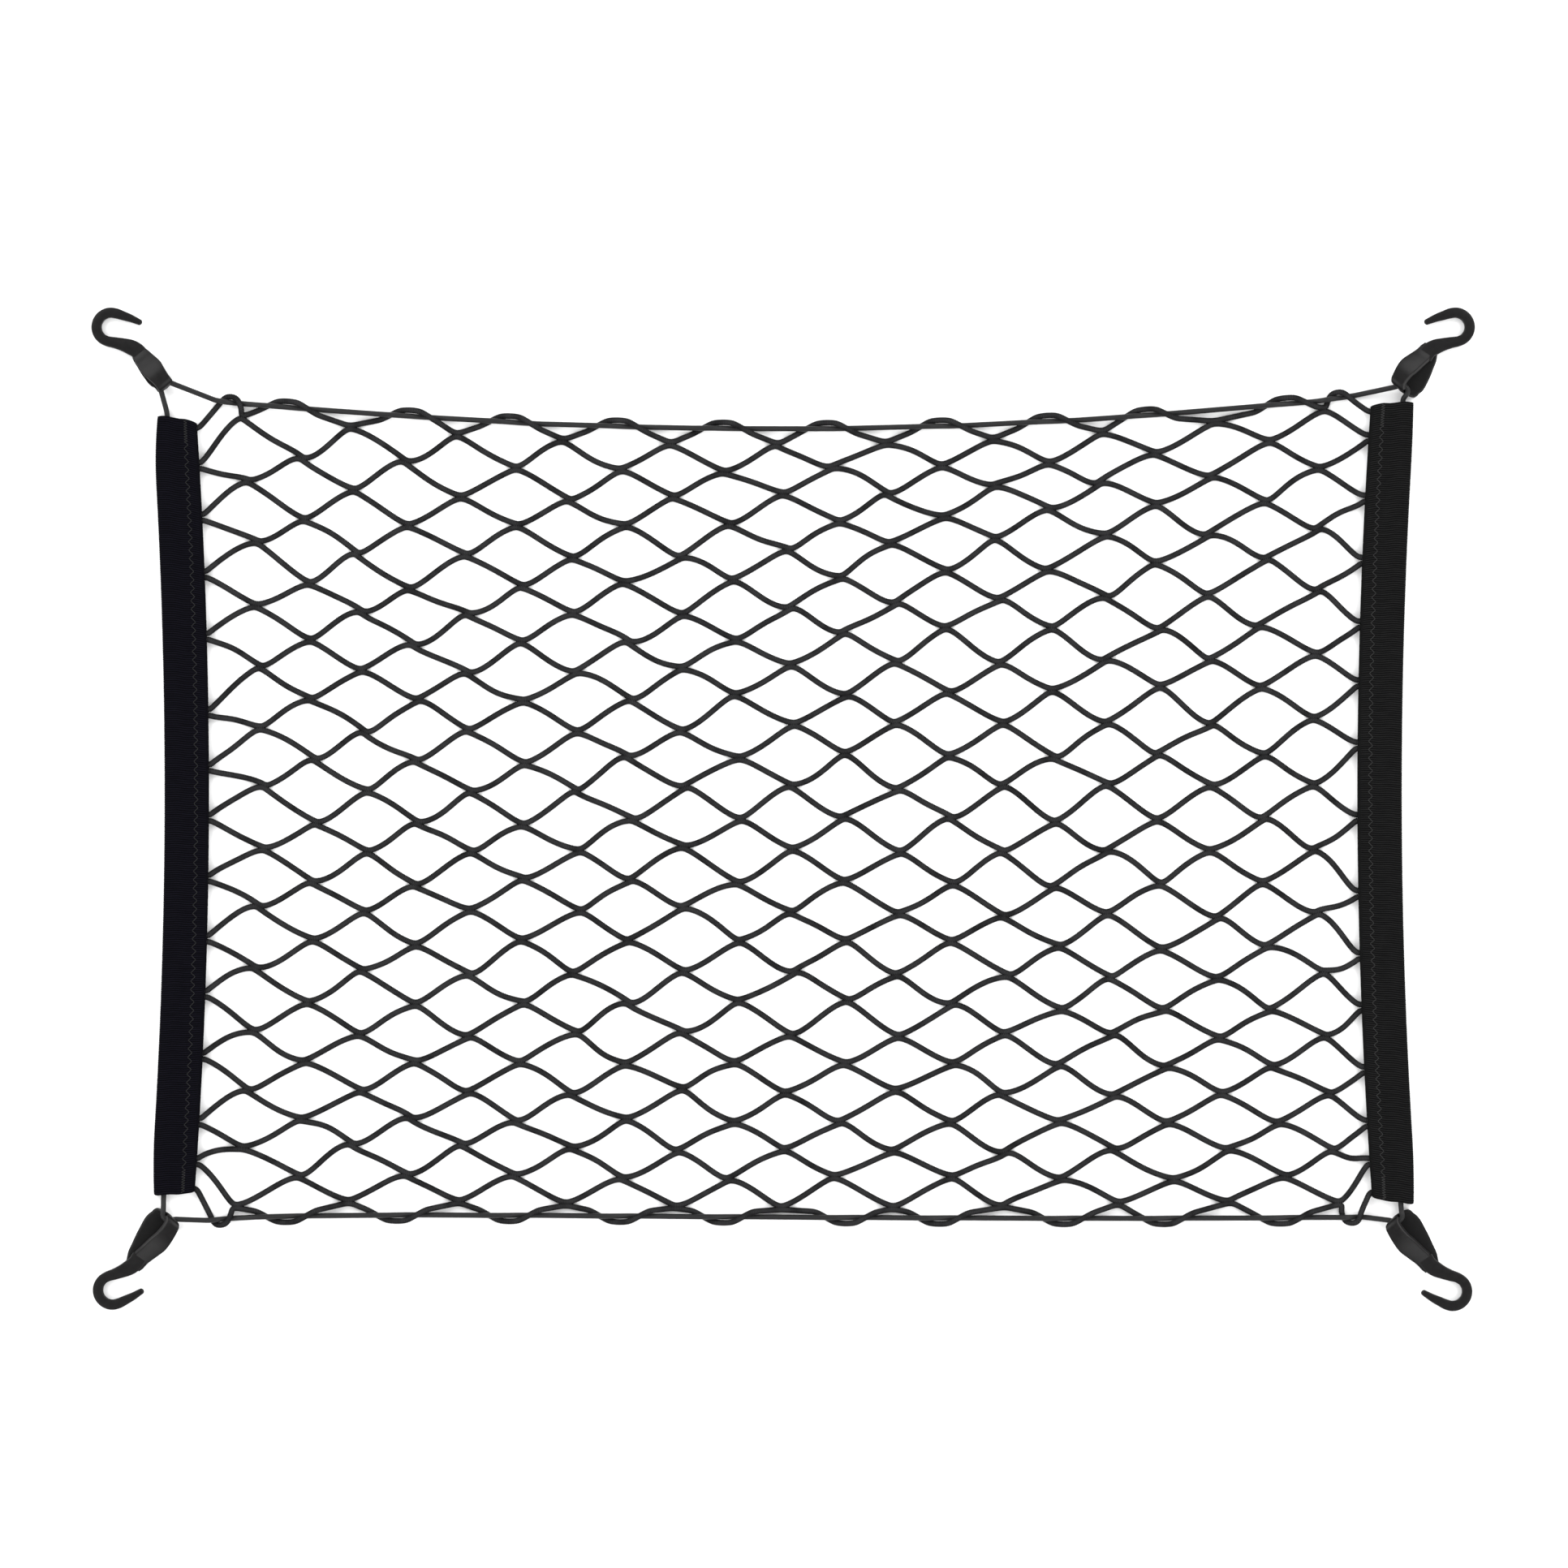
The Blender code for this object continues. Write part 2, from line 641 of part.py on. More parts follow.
def strap_sections(hook):
    """Flat sections across the strap, leaning sideways with their height but for those at the neck."""
    line = np.array(strap_line(hook))
    along = np.gradient(line[:, :2], axis=0)
    along /= np.linalg.norm(along, axis=1)[:, None]
    sections = []
    for (ahead, height, width), (run, rise) in zip(line, along):
        section = []
        for aside, out in ((-1, -1), (1, -1), (1, 1), (-1, 1)):
            x = ahead - out * rise * STRAP_THICKNESS / 2
            z = height + out * run * STRAP_THICKNESS / 2
            leaning = hook.lean * (1 - ease(2 * ahead / hook.length - 1))
            y = aside * width / 2 + leaning * (z - hook.height / 2)
            section.append((x, y, z))
        sections.append(section)
    return sections


def hook_line(hook):
    """Centre line of neck, shank, bowl and arm from above, as x, y, width and height."""
    neck_length, neck_width = NECK
    bowl_x, bowl_y = BOWL_CENTRE
    line = [(ahead, aside, width, HOOK_HEIGHT) for ahead, aside, width in SHANK]
    for step in range(BOWL_STEPS + 1):
        angle = radians(180 * step / BOWL_STEPS - 90)
        line.append((bowl_x + BOWL_RADIUS * cos(angle), bowl_y + BOWL_RADIUS * sin(angle),
                     BOWL_WIDTH, HOOK_HEIGHT))
    for ahead, aside, width in ARM:
        line.append((ahead, aside, width, HOOK_HEIGHT * (width / BOWL_WIDTH)**ARM_TAPER))
    turn = hook.hand * radians(hook.bend)
    placed = [(hook.length - neck_length, 0.0, neck_width, HOOK_HEIGHT),
              (hook.length, 0.0, neck_width, HOOK_HEIGHT)]
    for ahead, aside, width, height in line:
        aside *= -hook.hand
        placed.append((hook.length + ahead * cos(turn) - aside * sin(turn),
                       ahead * sin(turn) + aside * cos(turn), width, height))
    return placed


def hook_sections(hook):
    """Upright sections with four cut corners across the hook, all about its middle height."""
    line = np.array(hook_line(hook))
    along = np.gradient(line[:, :2], axis=0)
    along /= np.linalg.norm(along, axis=1)[:, None]
    sections = []
    for (x, y, width, height), (run, rise) in zip(line, along):
        half, up = width / 2, height / 2
        cut = HOOK_CHAMFER * min(width, height)
        section = []
        for aside, over in ((half - cut, -up), (half, cut - up), (half, up - cut), (half - cut, up),
                            (cut - half, up), (-half, up - cut), (-half, cut - up), (cut - half, -up)):
            section.append((x - aside * rise, y + aside * run, HOOK_HEIGHT / 2 + over))
        sections.append(section)
    return sections


def plastic_hook(hook):
    """Strap eye and hook, joined in one moulding."""
    name = "hook_" + hook.name
    piece = loft(name, strap_sections(hook), PARTS)
    tail = loft(name + "_tail", hook_sections(hook), SHAPES)
    for shape in (piece, tail):
        shape.location = (hook.x * MM, hook.y * MM, 0)
        shape.rotation_euler = (0, 0, radians(hook.heading))
    tail.hide_render = True
    tail.display_type = "WIRE"
    join = piece.modifiers.new("join_tail", "BOOLEAN")
    join.operation = "UNION"
    join.object = tail
    finish(piece, name + "_plastic", (0.010, 0.010, 0.011), 0.3)


# ---------------------------------------------------------------- shared


def add_spline(curve, points):
    """Closed polyline in a curve."""
    spline = curve.splines.new("POLY")
    spline.points.add(len(points) - 1)
    for point, place in zip(spline.points, points):
        point.co = (*(Vector(place) * MM), 1)
    spline.use_cyclic_u = True


def loft(name, sections, collection):
    """Closed body through sections of equally many points, with a face at each end."""
    shape = bmesh.new()
    rings = [[shape.verts.new(Vector(point) * MM) for point in section] for section in sections]
    for ring, following in zip(rings, rings[1:]):
        for index, corner in enumerate(ring):
            shape.faces.new((corner, ring[index - 1], following[index - 1], following[index]))
    shape.faces.new(rings[0])
    shape.faces.new(rings[-1])
    bmesh.ops.recalc_face_normals(shape, faces=shape.faces)
    mesh = bpy.data.meshes.new(name)
    shape.to_mesh(mesh)
    shape.free()
    piece = bpy.data.objects.new(name, mesh)
    collection.objects.link(piece)
    return piece


def give_material(piece, name, colour, roughness):
    """Plain dark finish of its own for one piece."""
    material = bpy.data.materials.new(name)
    material.use_nodes = True
    surface = material.node_tree.nodes["Principled BSDF"]
    surface.inputs["Base Color"].default_value = (*colour, 1)
    surface.inputs["Roughness"].default_value = roughness
    surface.inputs["Metallic"].default_value = 0
    piece.data.materials.append(material)


def finish(piece, name, colour, roughness):
    """Material and smooth shading with its sharp edges kept."""
    give_material(piece, name, colour, roughness)
    piece.data.shade_smooth()
    piece.data.set_sharp_from_angle(angle=SHARP_EDGE)


for leftover in list(bpy.data.objects):
    bpy.data.objects.remove(leftover)
PARTS = bpy.data.collections.new("cargo_net")
SHAPES = bpy.data.collections.new("joined_shapes")
for collection in (PARTS, SHAPES):
    bpy.context.scene.collection.children.link(collection)

net()
edge_cord()
sleeve("sleeve_left", -1)
sleeve("sleeve_right", 1)
for hook in HOOKS:
    plastic_hook(hook)
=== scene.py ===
"""Looks of an elastic luggage net lying flat: knitted strands, edge cord, webbing sleeves and hooks.

X runs along the net, Y across it and +Z up, and the net lies on z = 0. Sizes are in millimetres, in
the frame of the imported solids, and become metres in the meshes.
"""

import logging
from dataclasses import dataclass, field
from enum import Enum

import bpy
import numpy as np
from numpy.typing import ArrayLike, NDArray
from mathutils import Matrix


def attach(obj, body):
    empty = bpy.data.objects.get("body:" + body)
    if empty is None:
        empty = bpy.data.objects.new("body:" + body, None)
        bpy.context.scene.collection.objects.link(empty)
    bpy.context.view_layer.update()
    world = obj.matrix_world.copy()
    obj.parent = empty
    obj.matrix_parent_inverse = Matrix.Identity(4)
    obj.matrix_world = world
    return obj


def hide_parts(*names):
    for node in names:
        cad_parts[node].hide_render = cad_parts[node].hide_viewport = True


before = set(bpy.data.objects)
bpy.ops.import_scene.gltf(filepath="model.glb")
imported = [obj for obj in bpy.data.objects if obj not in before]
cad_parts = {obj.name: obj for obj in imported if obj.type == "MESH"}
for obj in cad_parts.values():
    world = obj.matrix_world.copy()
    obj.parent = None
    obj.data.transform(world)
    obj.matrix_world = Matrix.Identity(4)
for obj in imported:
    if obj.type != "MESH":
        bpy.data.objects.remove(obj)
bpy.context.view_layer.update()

Array = NDArray[np.float64]
Indices = NDArray[np.int64]
Socket = bpy.types.NodeSocket
Colour = tuple[float, float, float]
Scale = tuple[float, float, float]
Stations = tuple[tuple[float, float, float], ...]

MM = 0.001
BODY = "root"
TURN = 2 * np.pi
LOG = logging.getLogger("luggage_net")


class Side(Enum):
    """End of the net, with the direction of X that it lies in."""

    LEFT = -1
    RIGHT = 1


class Edge(Enum):
    """Long edge of the net, with the direction of Y that it lies in."""

    TOP = 1
    BOTTOM = -1


# ---------------------------------------------------------------- tables of the net's layout

# Where the stretched net has settled, at five of its columns of knots.
NET_SECTIONS = (
    # column, x top, x middle, x bottom, y top, y upper, y middle, y lower, y bottom
    (1, -313, -301, -318, 227, 109, -6, -119, -230),
    (6, -158, -150, -157, 215, 104, -7, -121, -228),
    (11, -3, 5, -1, 211, 109, -5, -121, -231),
    (16, 153, 158, 161, 216, 114, -6, -123, -229),
    (21, 314, 308, 323, 231.5, 117, -5, -123, -228),
)

# Heights at which the meshes run into the sleeves, from the top down.
SLEEVE_MESHES = (
    # left, right
    (199, 215),
    (169, 180),
    (136, 144),
    (100, 107),
    (56, 73),
    (24, 37),
    (-5, -5),
    (-40, -49),
    (-75, -85),
    (-107, -115),
    (-143, -151),
    (-181, -182),
    (-204, -204),
)

# The loops of the net's long edges that the cord is threaded through.
EDGE_LOOPS = (
    # column, x of the top loop, x of the bottom loop
    (2, -287, -288),
    (4, -216, -224),
    (6, -158, -159),
    (8, -96, -95),
    (10, -35, -35),
    (12, 25, 36),
    (14, 91, 90),
    (16, 153, 162),
    (18, 210, 220),
    (20, 291, 288),
)

# The edge cord along the two long edges.
CORD_RUNS = (
    # x, y of the top run, y of the bottom run
    (-350, 241.4, -239.6),
    (-325, 235.9, -237.4),
    (-300, 233.7, -235.9),
    (-225, 228.1, -235.0),
    (-140, 223.1, -235.3),
    (-60, 220.7, -235.9),
    (20, 220.2, -236.4),
    (100, 222.0, -236.8),
    (180, 225.8, -237.0),
    (250, 231.2, -236.9),
    (310, 236.3, -236.5),
    (350, 242.6, -236.2),
)


@dataclass(frozen=True)
class CornerLoop:
    """A loop of the net's edge between its outermost knot and a sleeve."""

    from_knot: float        # from the knot to the loop's middle
    foot: float             # from the middle to the foot on the sleeve's side
    foot_inside: float      # how far that foot stands inside the cord
    sleeve_height: float    # y at which the loop runs into the sleeve


CORNER_LOOPS = {
    (Side.LEFT, Edge.TOP): CornerLoop(7.6, 9.2, 6.1, 220.5),
    (Side.RIGHT, Edge.TOP): CornerLoop(7.6, 9.3, 3.9, 230.0),
    (Side.LEFT, Edge.BOTTOM): CornerLoop(8.6, 5.8, 3.8, -219.5),
    (Side.RIGHT, Edge.BOTTOM): CornerLoop(7.2, 4.8, 4.0, -221.5),
}


# ---------------------------------------------------------------- curves as whole arrays


def ease(share: ArrayLike) -> Array:
    """Smooth step: three times the square less twice the cube of the share, kept in 0 to 1."""
    share = np.clip(share, 0.0, 1.0)
    return share * share * (3 - 2 * share)


def within_two(chance: Array) -> Array:
    """Keep normally spread numbers within two standard deviations."""
    return np.clip(chance, -2, 2)


def through(stations: ArrayLike, values: ArrayLike, at: ArrayLike) -> Array:
    """Read the one polynomial that passes through all the values.

    Args:
        stations: Places of the values.
        values: One value for each station.
        at: Places to read.

    Returns:
        The polynomial's values at those places.
    """
    return np.polyval(np.polyfit(stations, values, len(stations) - 1), at)


def lengths_along(line: Array) -> Array:
    """Length of a polyline up to each of its points: the running sum of its chords."""
    return np.concatenate(([0.0], np.cumsum(np.linalg.norm(np.diff(line, axis=0), axis=1))))


def resampled(line: Array, step: float) -> Array:
    """Points evenly along a polyline: each coordinate is read at equal lengths along it.

    Args:
        line: Points, one to a row.
        step: Distance wanted between points.

    Returns:
        The new points, both ends kept.
    """
    length = lengths_along(line)
    at = np.linspace(0, length[-1], max(round(length[-1] / step), 2) + 1)
    return np.column_stack([np.interp(at, length, axis) for axis in line.T])


def softened(line: Array, step: float, radius: float, ring: bool = False) -> Array:
    """Round the bends of an evenly sampled line: each point becomes the mean of its neighbours,
    weighted by a bell curve of that radius. An open line is continued past its ends by its own
    image, turned half round, so that its ends stay.

    Args:
        line: Evenly spaced points.
        step: Their distance.
        radius: Standard deviation of the weights.
        ring: Whether the line closes on itself.

    Returns:
        As many points.
    """
    reach = int(np.ceil(3 * radius / step))
    weights = np.exp(-0.5 * (np.arange(-reach, reach + 1) * step / radius) ** 2)
    weights /= weights.sum()
    if ring:
        longer = np.concatenate((line[-reach:], line, line[:reach]))
    else:
        before = 2 * line[0] - line[reach:0:-1]
        after = 2 * line[-1] - line[-2:-reach - 2:-1]
        longer = np.concatenate((before, line, after))
    return np.column_stack([np.convolve(axis, weights, "valid") for axis in longer.T])


def curve_through(stations: Array, at: ArrayLike | None = None, step: float = 1.0,
                  axes: int = 2) -> Array:
    """Smooth curve through stations: between two of them it is the cubic that has their values,
    and the slopes of the parabolas through each station and its neighbours.

    Args:
        stations: One row each, place first and then anything that changes along.
        at: Distances along to read, or None for even steps.
        step: Distance between points if at is None.
        axes: How many columns are the place.

    Returns:
        One row for each point of the curve.
    """
    chord = lengths_along(stations[:, :axes])
    if at is None:
        at = np.linspace(0, chord[-1], round(chord[-1] / step) + 1)
    slopes = np.gradient(stations, chord, axis=0)
    span = np.clip(np.searchsorted(chord, at, "right") - 1, 0, len(chord) - 2)
    width = np.diff(chord)[span][:, None]
    share = (np.asarray(at) - chord[span])[:, None] / width
    rest = 1 - share
    return ((1 + 2 * share) * rest**2 * stations[span] + share * rest**2 * width * slopes[span]
            + share**2 * (3 - 2 * share) * stations[span + 1]
            - share**2 * rest * width * slopes[span + 1])


def running_sum(slope: Array, step: Array) -> Array:
    """Height gained along the last axis: the running sum of the mean slopes between points.

    Args:
        slope: Slopes at evenly spaced points.
        step: Distance between points, for each line.

    Returns:
        Heights at the points, from zero.
    """
    gained = np.cumsum((slope[..., 1:] + slope[..., :-1]) / 2 * step, -1)
    return np.concatenate((np.zeros_like(gained[..., :1]), gained), -1)


def directions(line: Array, ring: bool = False) -> tuple[Array, Array]:
    """Level direction to the left of a line, and the one that is square to it and to the line.

    Args:
        line: Points of a line that is nowhere upright.
        ring: Whether it closes on itself.

    Returns:
        Sideways and upward unit vectors at each point.
    """
    along = np.roll(line, -1, 0) - np.roll(line, 1, 0) if ring else np.gradient(line, axis=0)
    along /= np.linalg.norm(along, axis=1, keepdims=True)
    sideways = np.column_stack((-along[:, 1], along[:, 0], np.zeros(len(line))))
    sideways /= np.linalg.norm(sideways, axis=1, keepdims=True)
    return sideways, np.cross(along, sideways)


def swept(line: Array, sideways: Array, upward: Array, aside: Array, over: Array) -> Array:
    """Carry a section along a line: point plus aside times sideways plus over times upward.

    Args:
        line: Centre points, one for each ring.
        sideways: Unit vectors, one for each ring.
        upward: Unit vectors, one for each ring.
        aside: Section's first coordinate, rings by points or points alone.
        over: Section's second coordinate, likewise.

    Returns:
        Grid of rings by points by three coordinates.
    """
    return line[:, None] + aside[..., None] * sideways[:, None] + over[..., None] * upward[:, None]


def rounded_outline(half_width: Array, half_height: Array, radius: Array,
                    steps: int) -> tuple[Array, Array]:
    """Rectangles with round corners, from the first side counter-clockwise: each corner's centre
    plus its radius times the cosine and sine of angles that step through a quarter turn.

    Args:
        half_width: Half the width of each outline.
        half_height: Half the height of each.
        radius: Corner radius of each.
        steps: Steps in a quarter turn.

    Returns:
        Aside and over, outlines by points.
    """
    quarters = np.repeat(np.arange(4), steps + 1)
    angles = np.tile(np.linspace(0, TURN / 4, steps + 1), 4) + quarters * TURN / 4
    right = np.where((quarters == 0) | (quarters == 3), 1, -1)
    above = np.where(quarters < 2, 1, -1)
    aside = (half_width - radius)[:, None] * right + radius[:, None] * np.cos(angles)
    over = (half_height - radius)[:, None] * above + radius[:, None] * np.sin(angles)
    return aside, over


# ---------------------------------------------------------------- meshes


class Surface:
    """A mesh under way: grids of points, the faces that join them, and each corner's UV place."""

    def __init__(self) -> None:
        """Start with nothing."""
        self.points: list[Array] = []
        self.faces: list[Indices] = []
        self.places: list[Array] = []
        self.count = 0

    def add_grid(self, grid: Array, along: Array, around: Array, ring: bool = False) -> Indices:
        """Add the skin of a swept section.

        Args:
            grid: Rings by points by three, in millimetres, each ring closed.
            along: U of each ring, and of the first again if ring.
            around: V of each point, and of the first again.
            ring: Whether the last ring joins the first.

        Returns:
            Indices of the points, rings by points.
        """
        rings, points = grid.shape[:2]
        numbers = self.count + np.arange(rings * points).reshape(rings, points)
        self.count += rings * points
        self.points.append(grid.reshape(-1, 3))
        first = np.arange(rings if ring else rings - 1)
        row, column = np.meshgrid(first, np.arange(points), indexing="ij")
        corners = ((row, column), (row, column + 1), (row + 1, column + 1), (row + 1, column))
        self.faces.append(np.stack(
            [numbers[r % rings, c % points] for r, c in corners], -1).reshape(-1, 4))
        self.places.append(np.stack(
            [np.stack((along[r], around[c]), -1) for r, c in corners], -2).reshape(-1, 2))
        return numbers

    def add_faces(self, faces: Indices) -> None:
        """Add faces of equally many corners between points that are there already."""
        self.faces.append(faces)
        self.places.append(np.zeros((faces.size, 2)))

    def cap(self, numbers: Indices) -> None:
        """Close both ends of a grid with one face each."""
        self.add_faces(numbers[:1, ::-1])
        self.add_faces(numbers[-1:])

    def piece(self, name: str, material: bpy.types.Material, uv: str) -> bpy.types.Object:
        """Make the mesh and its object, which rides on the part's body.

        Args:
            name: Name of the piece.
            material: Its finish.
            uv: Name of its UV map.

        Returns:
            The object.
        """
        mesh = bpy.data.meshes.new(name)
        points = np.concatenate(self.points) * MM
        corners = np.concatenate([faces.ravel() for faces in self.faces])
        sizes = np.concatenate([np.full(len(faces), faces.shape[1]) for faces in self.faces])
        mesh.vertices.add(len(points))
        mesh.vertices.foreach_set("co", points.astype(np.float32).ravel())
        mesh.loops.add(len(corners))
        mesh.loops.foreach_set("vertex_index", corners.astype(np.int32))
        mesh.polygons.add(len(sizes))
        mesh.polygons.foreach_set("loop_start", (np.cumsum(sizes) - sizes).astype(np.int32))
        mesh.uv_layers.new(name=uv).data.foreach_set(
            "uv", np.concatenate(self.places).astype(np.float32).ravel())
        mesh.update(calc_edges=True)
        mesh.shade_smooth()
        mesh.materials.append(material)
        shown = bpy.data.objects.new(name, mesh)
        bpy.context.scene.collection.objects.link(shown)
        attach(shown, BODY)
        triangles = int((sizes - 2).sum())
        LOG.info("%s: %d triangles", name, triangles)
        return shown


# ---------------------------------------------------------------- finishes


class Shader:
    """A material under way: adds nodes and links them in one call."""

    def __init__(self, name: str) -> None:
        """Start from a Principled surface.

        Args:
            name: The material's name.
        """
        self.material = bpy.data.materials.new(name)
        self.material.use_nodes = True
        self.tree = self.material.node_tree
        self.surface = self.tree.nodes["Principled BSDF"]

    def add(self, kind: str, inputs: dict | None = None, **settings: object) -> bpy.types.Node:
        """Add a node.

        Args:
            kind: Its type.
            inputs: Sockets to link, or constants, by input name or number.
            settings: Its own properties.

        Returns:
            The node.
        """
        node = self.tree.nodes.new(kind)
        for key, value in settings.items():
            setattr(node, key, value)
        for key, value in (inputs or {}).items():
            if isinstance(value, Socket):
                self.tree.links.new(value, node.inputs[key])
            else:
                node.inputs[key].default_value = value
        return node

    def math(self, operation: str, *values: Socket | float) -> Socket:
        """Result of a Math node on one, two or three values."""
        return self.add("ShaderNodeMath", dict(enumerate(values)), operation=operation).outputs[0]

    def wave(self, turns: Socket) -> Socket:
        """Half of one plus the cosine: 1 at whole turns and 0 half-way between."""
        cosine = self.math("COSINE", self.math("MULTIPLY", turns, TURN))
        return self.math("MULTIPLY_ADD", cosine, 0.5, 0.5)

    def noise(self, vector: Socket, scale: float, detail: float = 2.0) -> Socket:
        """Smooth noise from 0 to 1."""
        inputs = {"Vector": vector, "Scale": scale, "Detail": detail}
        return self.add("ShaderNodeTexNoise", inputs).outputs["Fac"]

    def stretched(self, vector: Socket, scale: Scale) -> Socket:
        """A vector multiplied axis by axis."""
        inputs = {"Vector": vector, "Scale": scale}
        return self.add("ShaderNodeMapping", inputs).outputs[0]

    def uv_place(self, uv: str) -> Socket:
        """The piece's own UV place."""
        return self.add("ShaderNodeUVMap", uv_map=uv).outputs[0]

    def axes(self, place: Socket) -> list[Socket]:
        """The two numbers of a UV place."""
        return self.add("ShaderNodeSeparateXYZ", {0: place}).outputs[:2]

    def object_place(self) -> Socket:
        """Place in the object's own coordinates, in metres."""
        return self.add("ShaderNodeTexCoord").outputs["Object"]

    def blend(self, share: Socket, low: Colour | Socket, high: Colour) -> Socket:
        """Colour between two colours.

        Args:
            share: How much of the second colour, from 0 to 1.
            low: The first colour, or a socket that gives it.
            high: The second.

        Returns:
            The blended colour.
        """
        start = low if isinstance(low, Socket) else (*low, 1)
        node = self.add("ShaderNodeMix", {0: share, 6: start, 7: (*high, 1)}, data_type="RGBA")
        return node.outputs[2]

    def relief(self, height: Socket, strength: float, depth: float) -> None:
        """Bump the surface by a height from 0 to 1, over a depth in millimetres."""
        bump = self.add("ShaderNodeBump", {"Height": height, "Strength": strength,
                                           "Distance": depth * MM})
        self.tree.links.new(bump.outputs[0], self.surface.inputs["Normal"])

    def colour(self, colour: Socket) -> None:
        """Link the surface's colour."""
        self.tree.links.new(colour, self.surface.inputs["Base Color"])

    def set(self, **values: float) -> None:
        """Set constants on the surface's own sockets, whose names have underscores for spaces."""
        for key, value in values.items():
            self.surface.inputs[key.replace("_", " ")].default_value = value


@dataclass(frozen=True)
class KnittedElastic:
    """Matt knitted elastic: V stitches round the strand, with painted shade between them and painted
    light along the strand's top.

    The UV map counts stitches along the strand, and turns round it.
    """

    name: str = "knitted_elastic"
    uv: str = "stitches"
    wales: int = 8
    # painted shade between the stitches, and painted light on their crests along the strand's top
    groove: Colour = (0.0006, 0.0006, 0.0008)
    crest: Colour = (0.030, 0.030, 0.031)
    half_stitch: float = 0.5                    # how much later every second wale's stitches are
    fibre_grain: Scale = (3.0, 90.0, 1.0)       # fibres for each stitch and for each turn
    fibre_height: float = 0.6                   # of the fibres against the stitches
    patch_scale: float = 140.0                  # patches in which the painted top light is stronger or weaker, for each metre
    patch_detail: float = 4.0
    patch_contrast: float = 2.2
    patch_floor: float = -0.1                   # below zero, so that the plainest places stay dark
    top: float = 0.25                           # turns from the start to the strand's top
    top_sharpness: float = 2.0                  # how closely the painted light keeps to the top
    groove_light: float = 0.15                  # light that is left between the stitches
    painted_top_light: float = 1.7                           # strength of the painted light on top
    relief: float = 0.4
    depth: float = 0.2
    roughness: float = 0.75
    gloss: float = 0.02

    def material(self) -> bpy.types.Material:
        """Stitch height is a wave along the strand that runs half a stitch later on every second
        wale, so that its crests zigzag round the strand as V stitches do. The strand's top is
        painted lighter in patches, as light falls on it, and the grooves between the stitches are
        painted shade.

        Returns:
            The material.
        """
        shader = Shader(self.name)
        place = shader.uv_place(self.uv)
        along, around = shader.axes(place)
        wale = shader.math("MULTIPLY", around, float(self.wales))
        later = shader.math("MULTIPLY", shader.math("PINGPONG", wale, 1.0), self.half_stitch)
        stitch = shader.wave(shader.math("ADD", along, later))
        fibres = shader.noise(shader.stretched(place, self.fibre_grain), 1.0)
        patches = shader.noise(shader.object_place(), self.patch_scale, self.patch_detail)
        height = shader.math("MULTIPLY_ADD", fibres, self.fibre_height, stitch)
        # Painted light: the strand's top is lighter as light falls on it, and the grooves between
        # stitches are darker as shade.
        upper = shader.wave(shader.math("SUBTRACT", around, self.top))
        painted_light_mask = shader.math("POWER", upper, self.top_sharpness)
        yarn = shader.math("MULTIPLY", shader.math("ADD", stitch, self.groove_light), fibres)
        scuffs_and_top_light = shader.math("MULTIPLY", painted_light_mask, shader.math("MULTIPLY", yarn, self.painted_top_light))
        patch = shader.math("MULTIPLY_ADD", patches, self.patch_contrast, self.patch_floor)
        light = shader.math("MULTIPLY", patch, scuffs_and_top_light)
        shader.colour(shader.blend(light, self.groove, self.crest))
        shader.relief(height, self.relief, self.depth)
        shader.set(Roughness=self.roughness, Specular_IOR_Level=self.gloss)
        return shader.material


@dataclass(frozen=True)
class SmoothElastic:
    """Tightly covered round elastic with a satin sheen and fine lines along it.

    The UV map holds millimetres along the cord, and turns round it.
    """

    name: str = "smooth_elastic"
    uv: str = "cover"
    dark: Colour = (0.006, 0.006, 0.0062)
    light: Colour = (0.016, 0.016, 0.0165)
    thread_grain: Scale = (0.35, 60.0, 1.0)     # for each millimetre along and each turn
    cover_grain: Scale = (4.0, 26.0, 1.0)       # likewise
    relief: float = 0.25
    depth: float = 0.08
    roughness: float = 0.45
    gloss: float = 0.16

    def material(self) -> bpy.types.Material:
        """Fine threads round the cord, each a little lighter or darker along its length.

        Returns:
            The material.
        """
        shader = Shader(self.name)
        place = shader.uv_place(self.uv)
        threads = shader.noise(shader.stretched(place, self.thread_grain), 1.0)
        cover = shader.noise(shader.stretched(place, self.cover_grain), 1.0)
        shader.colour(shader.blend(threads, self.dark, self.light))
        shader.relief(shader.math("ADD", threads, cover), self.relief, self.depth)
        shader.set(Roughness=self.roughness, Specular_IOR_Level=self.gloss)
        return shader.material


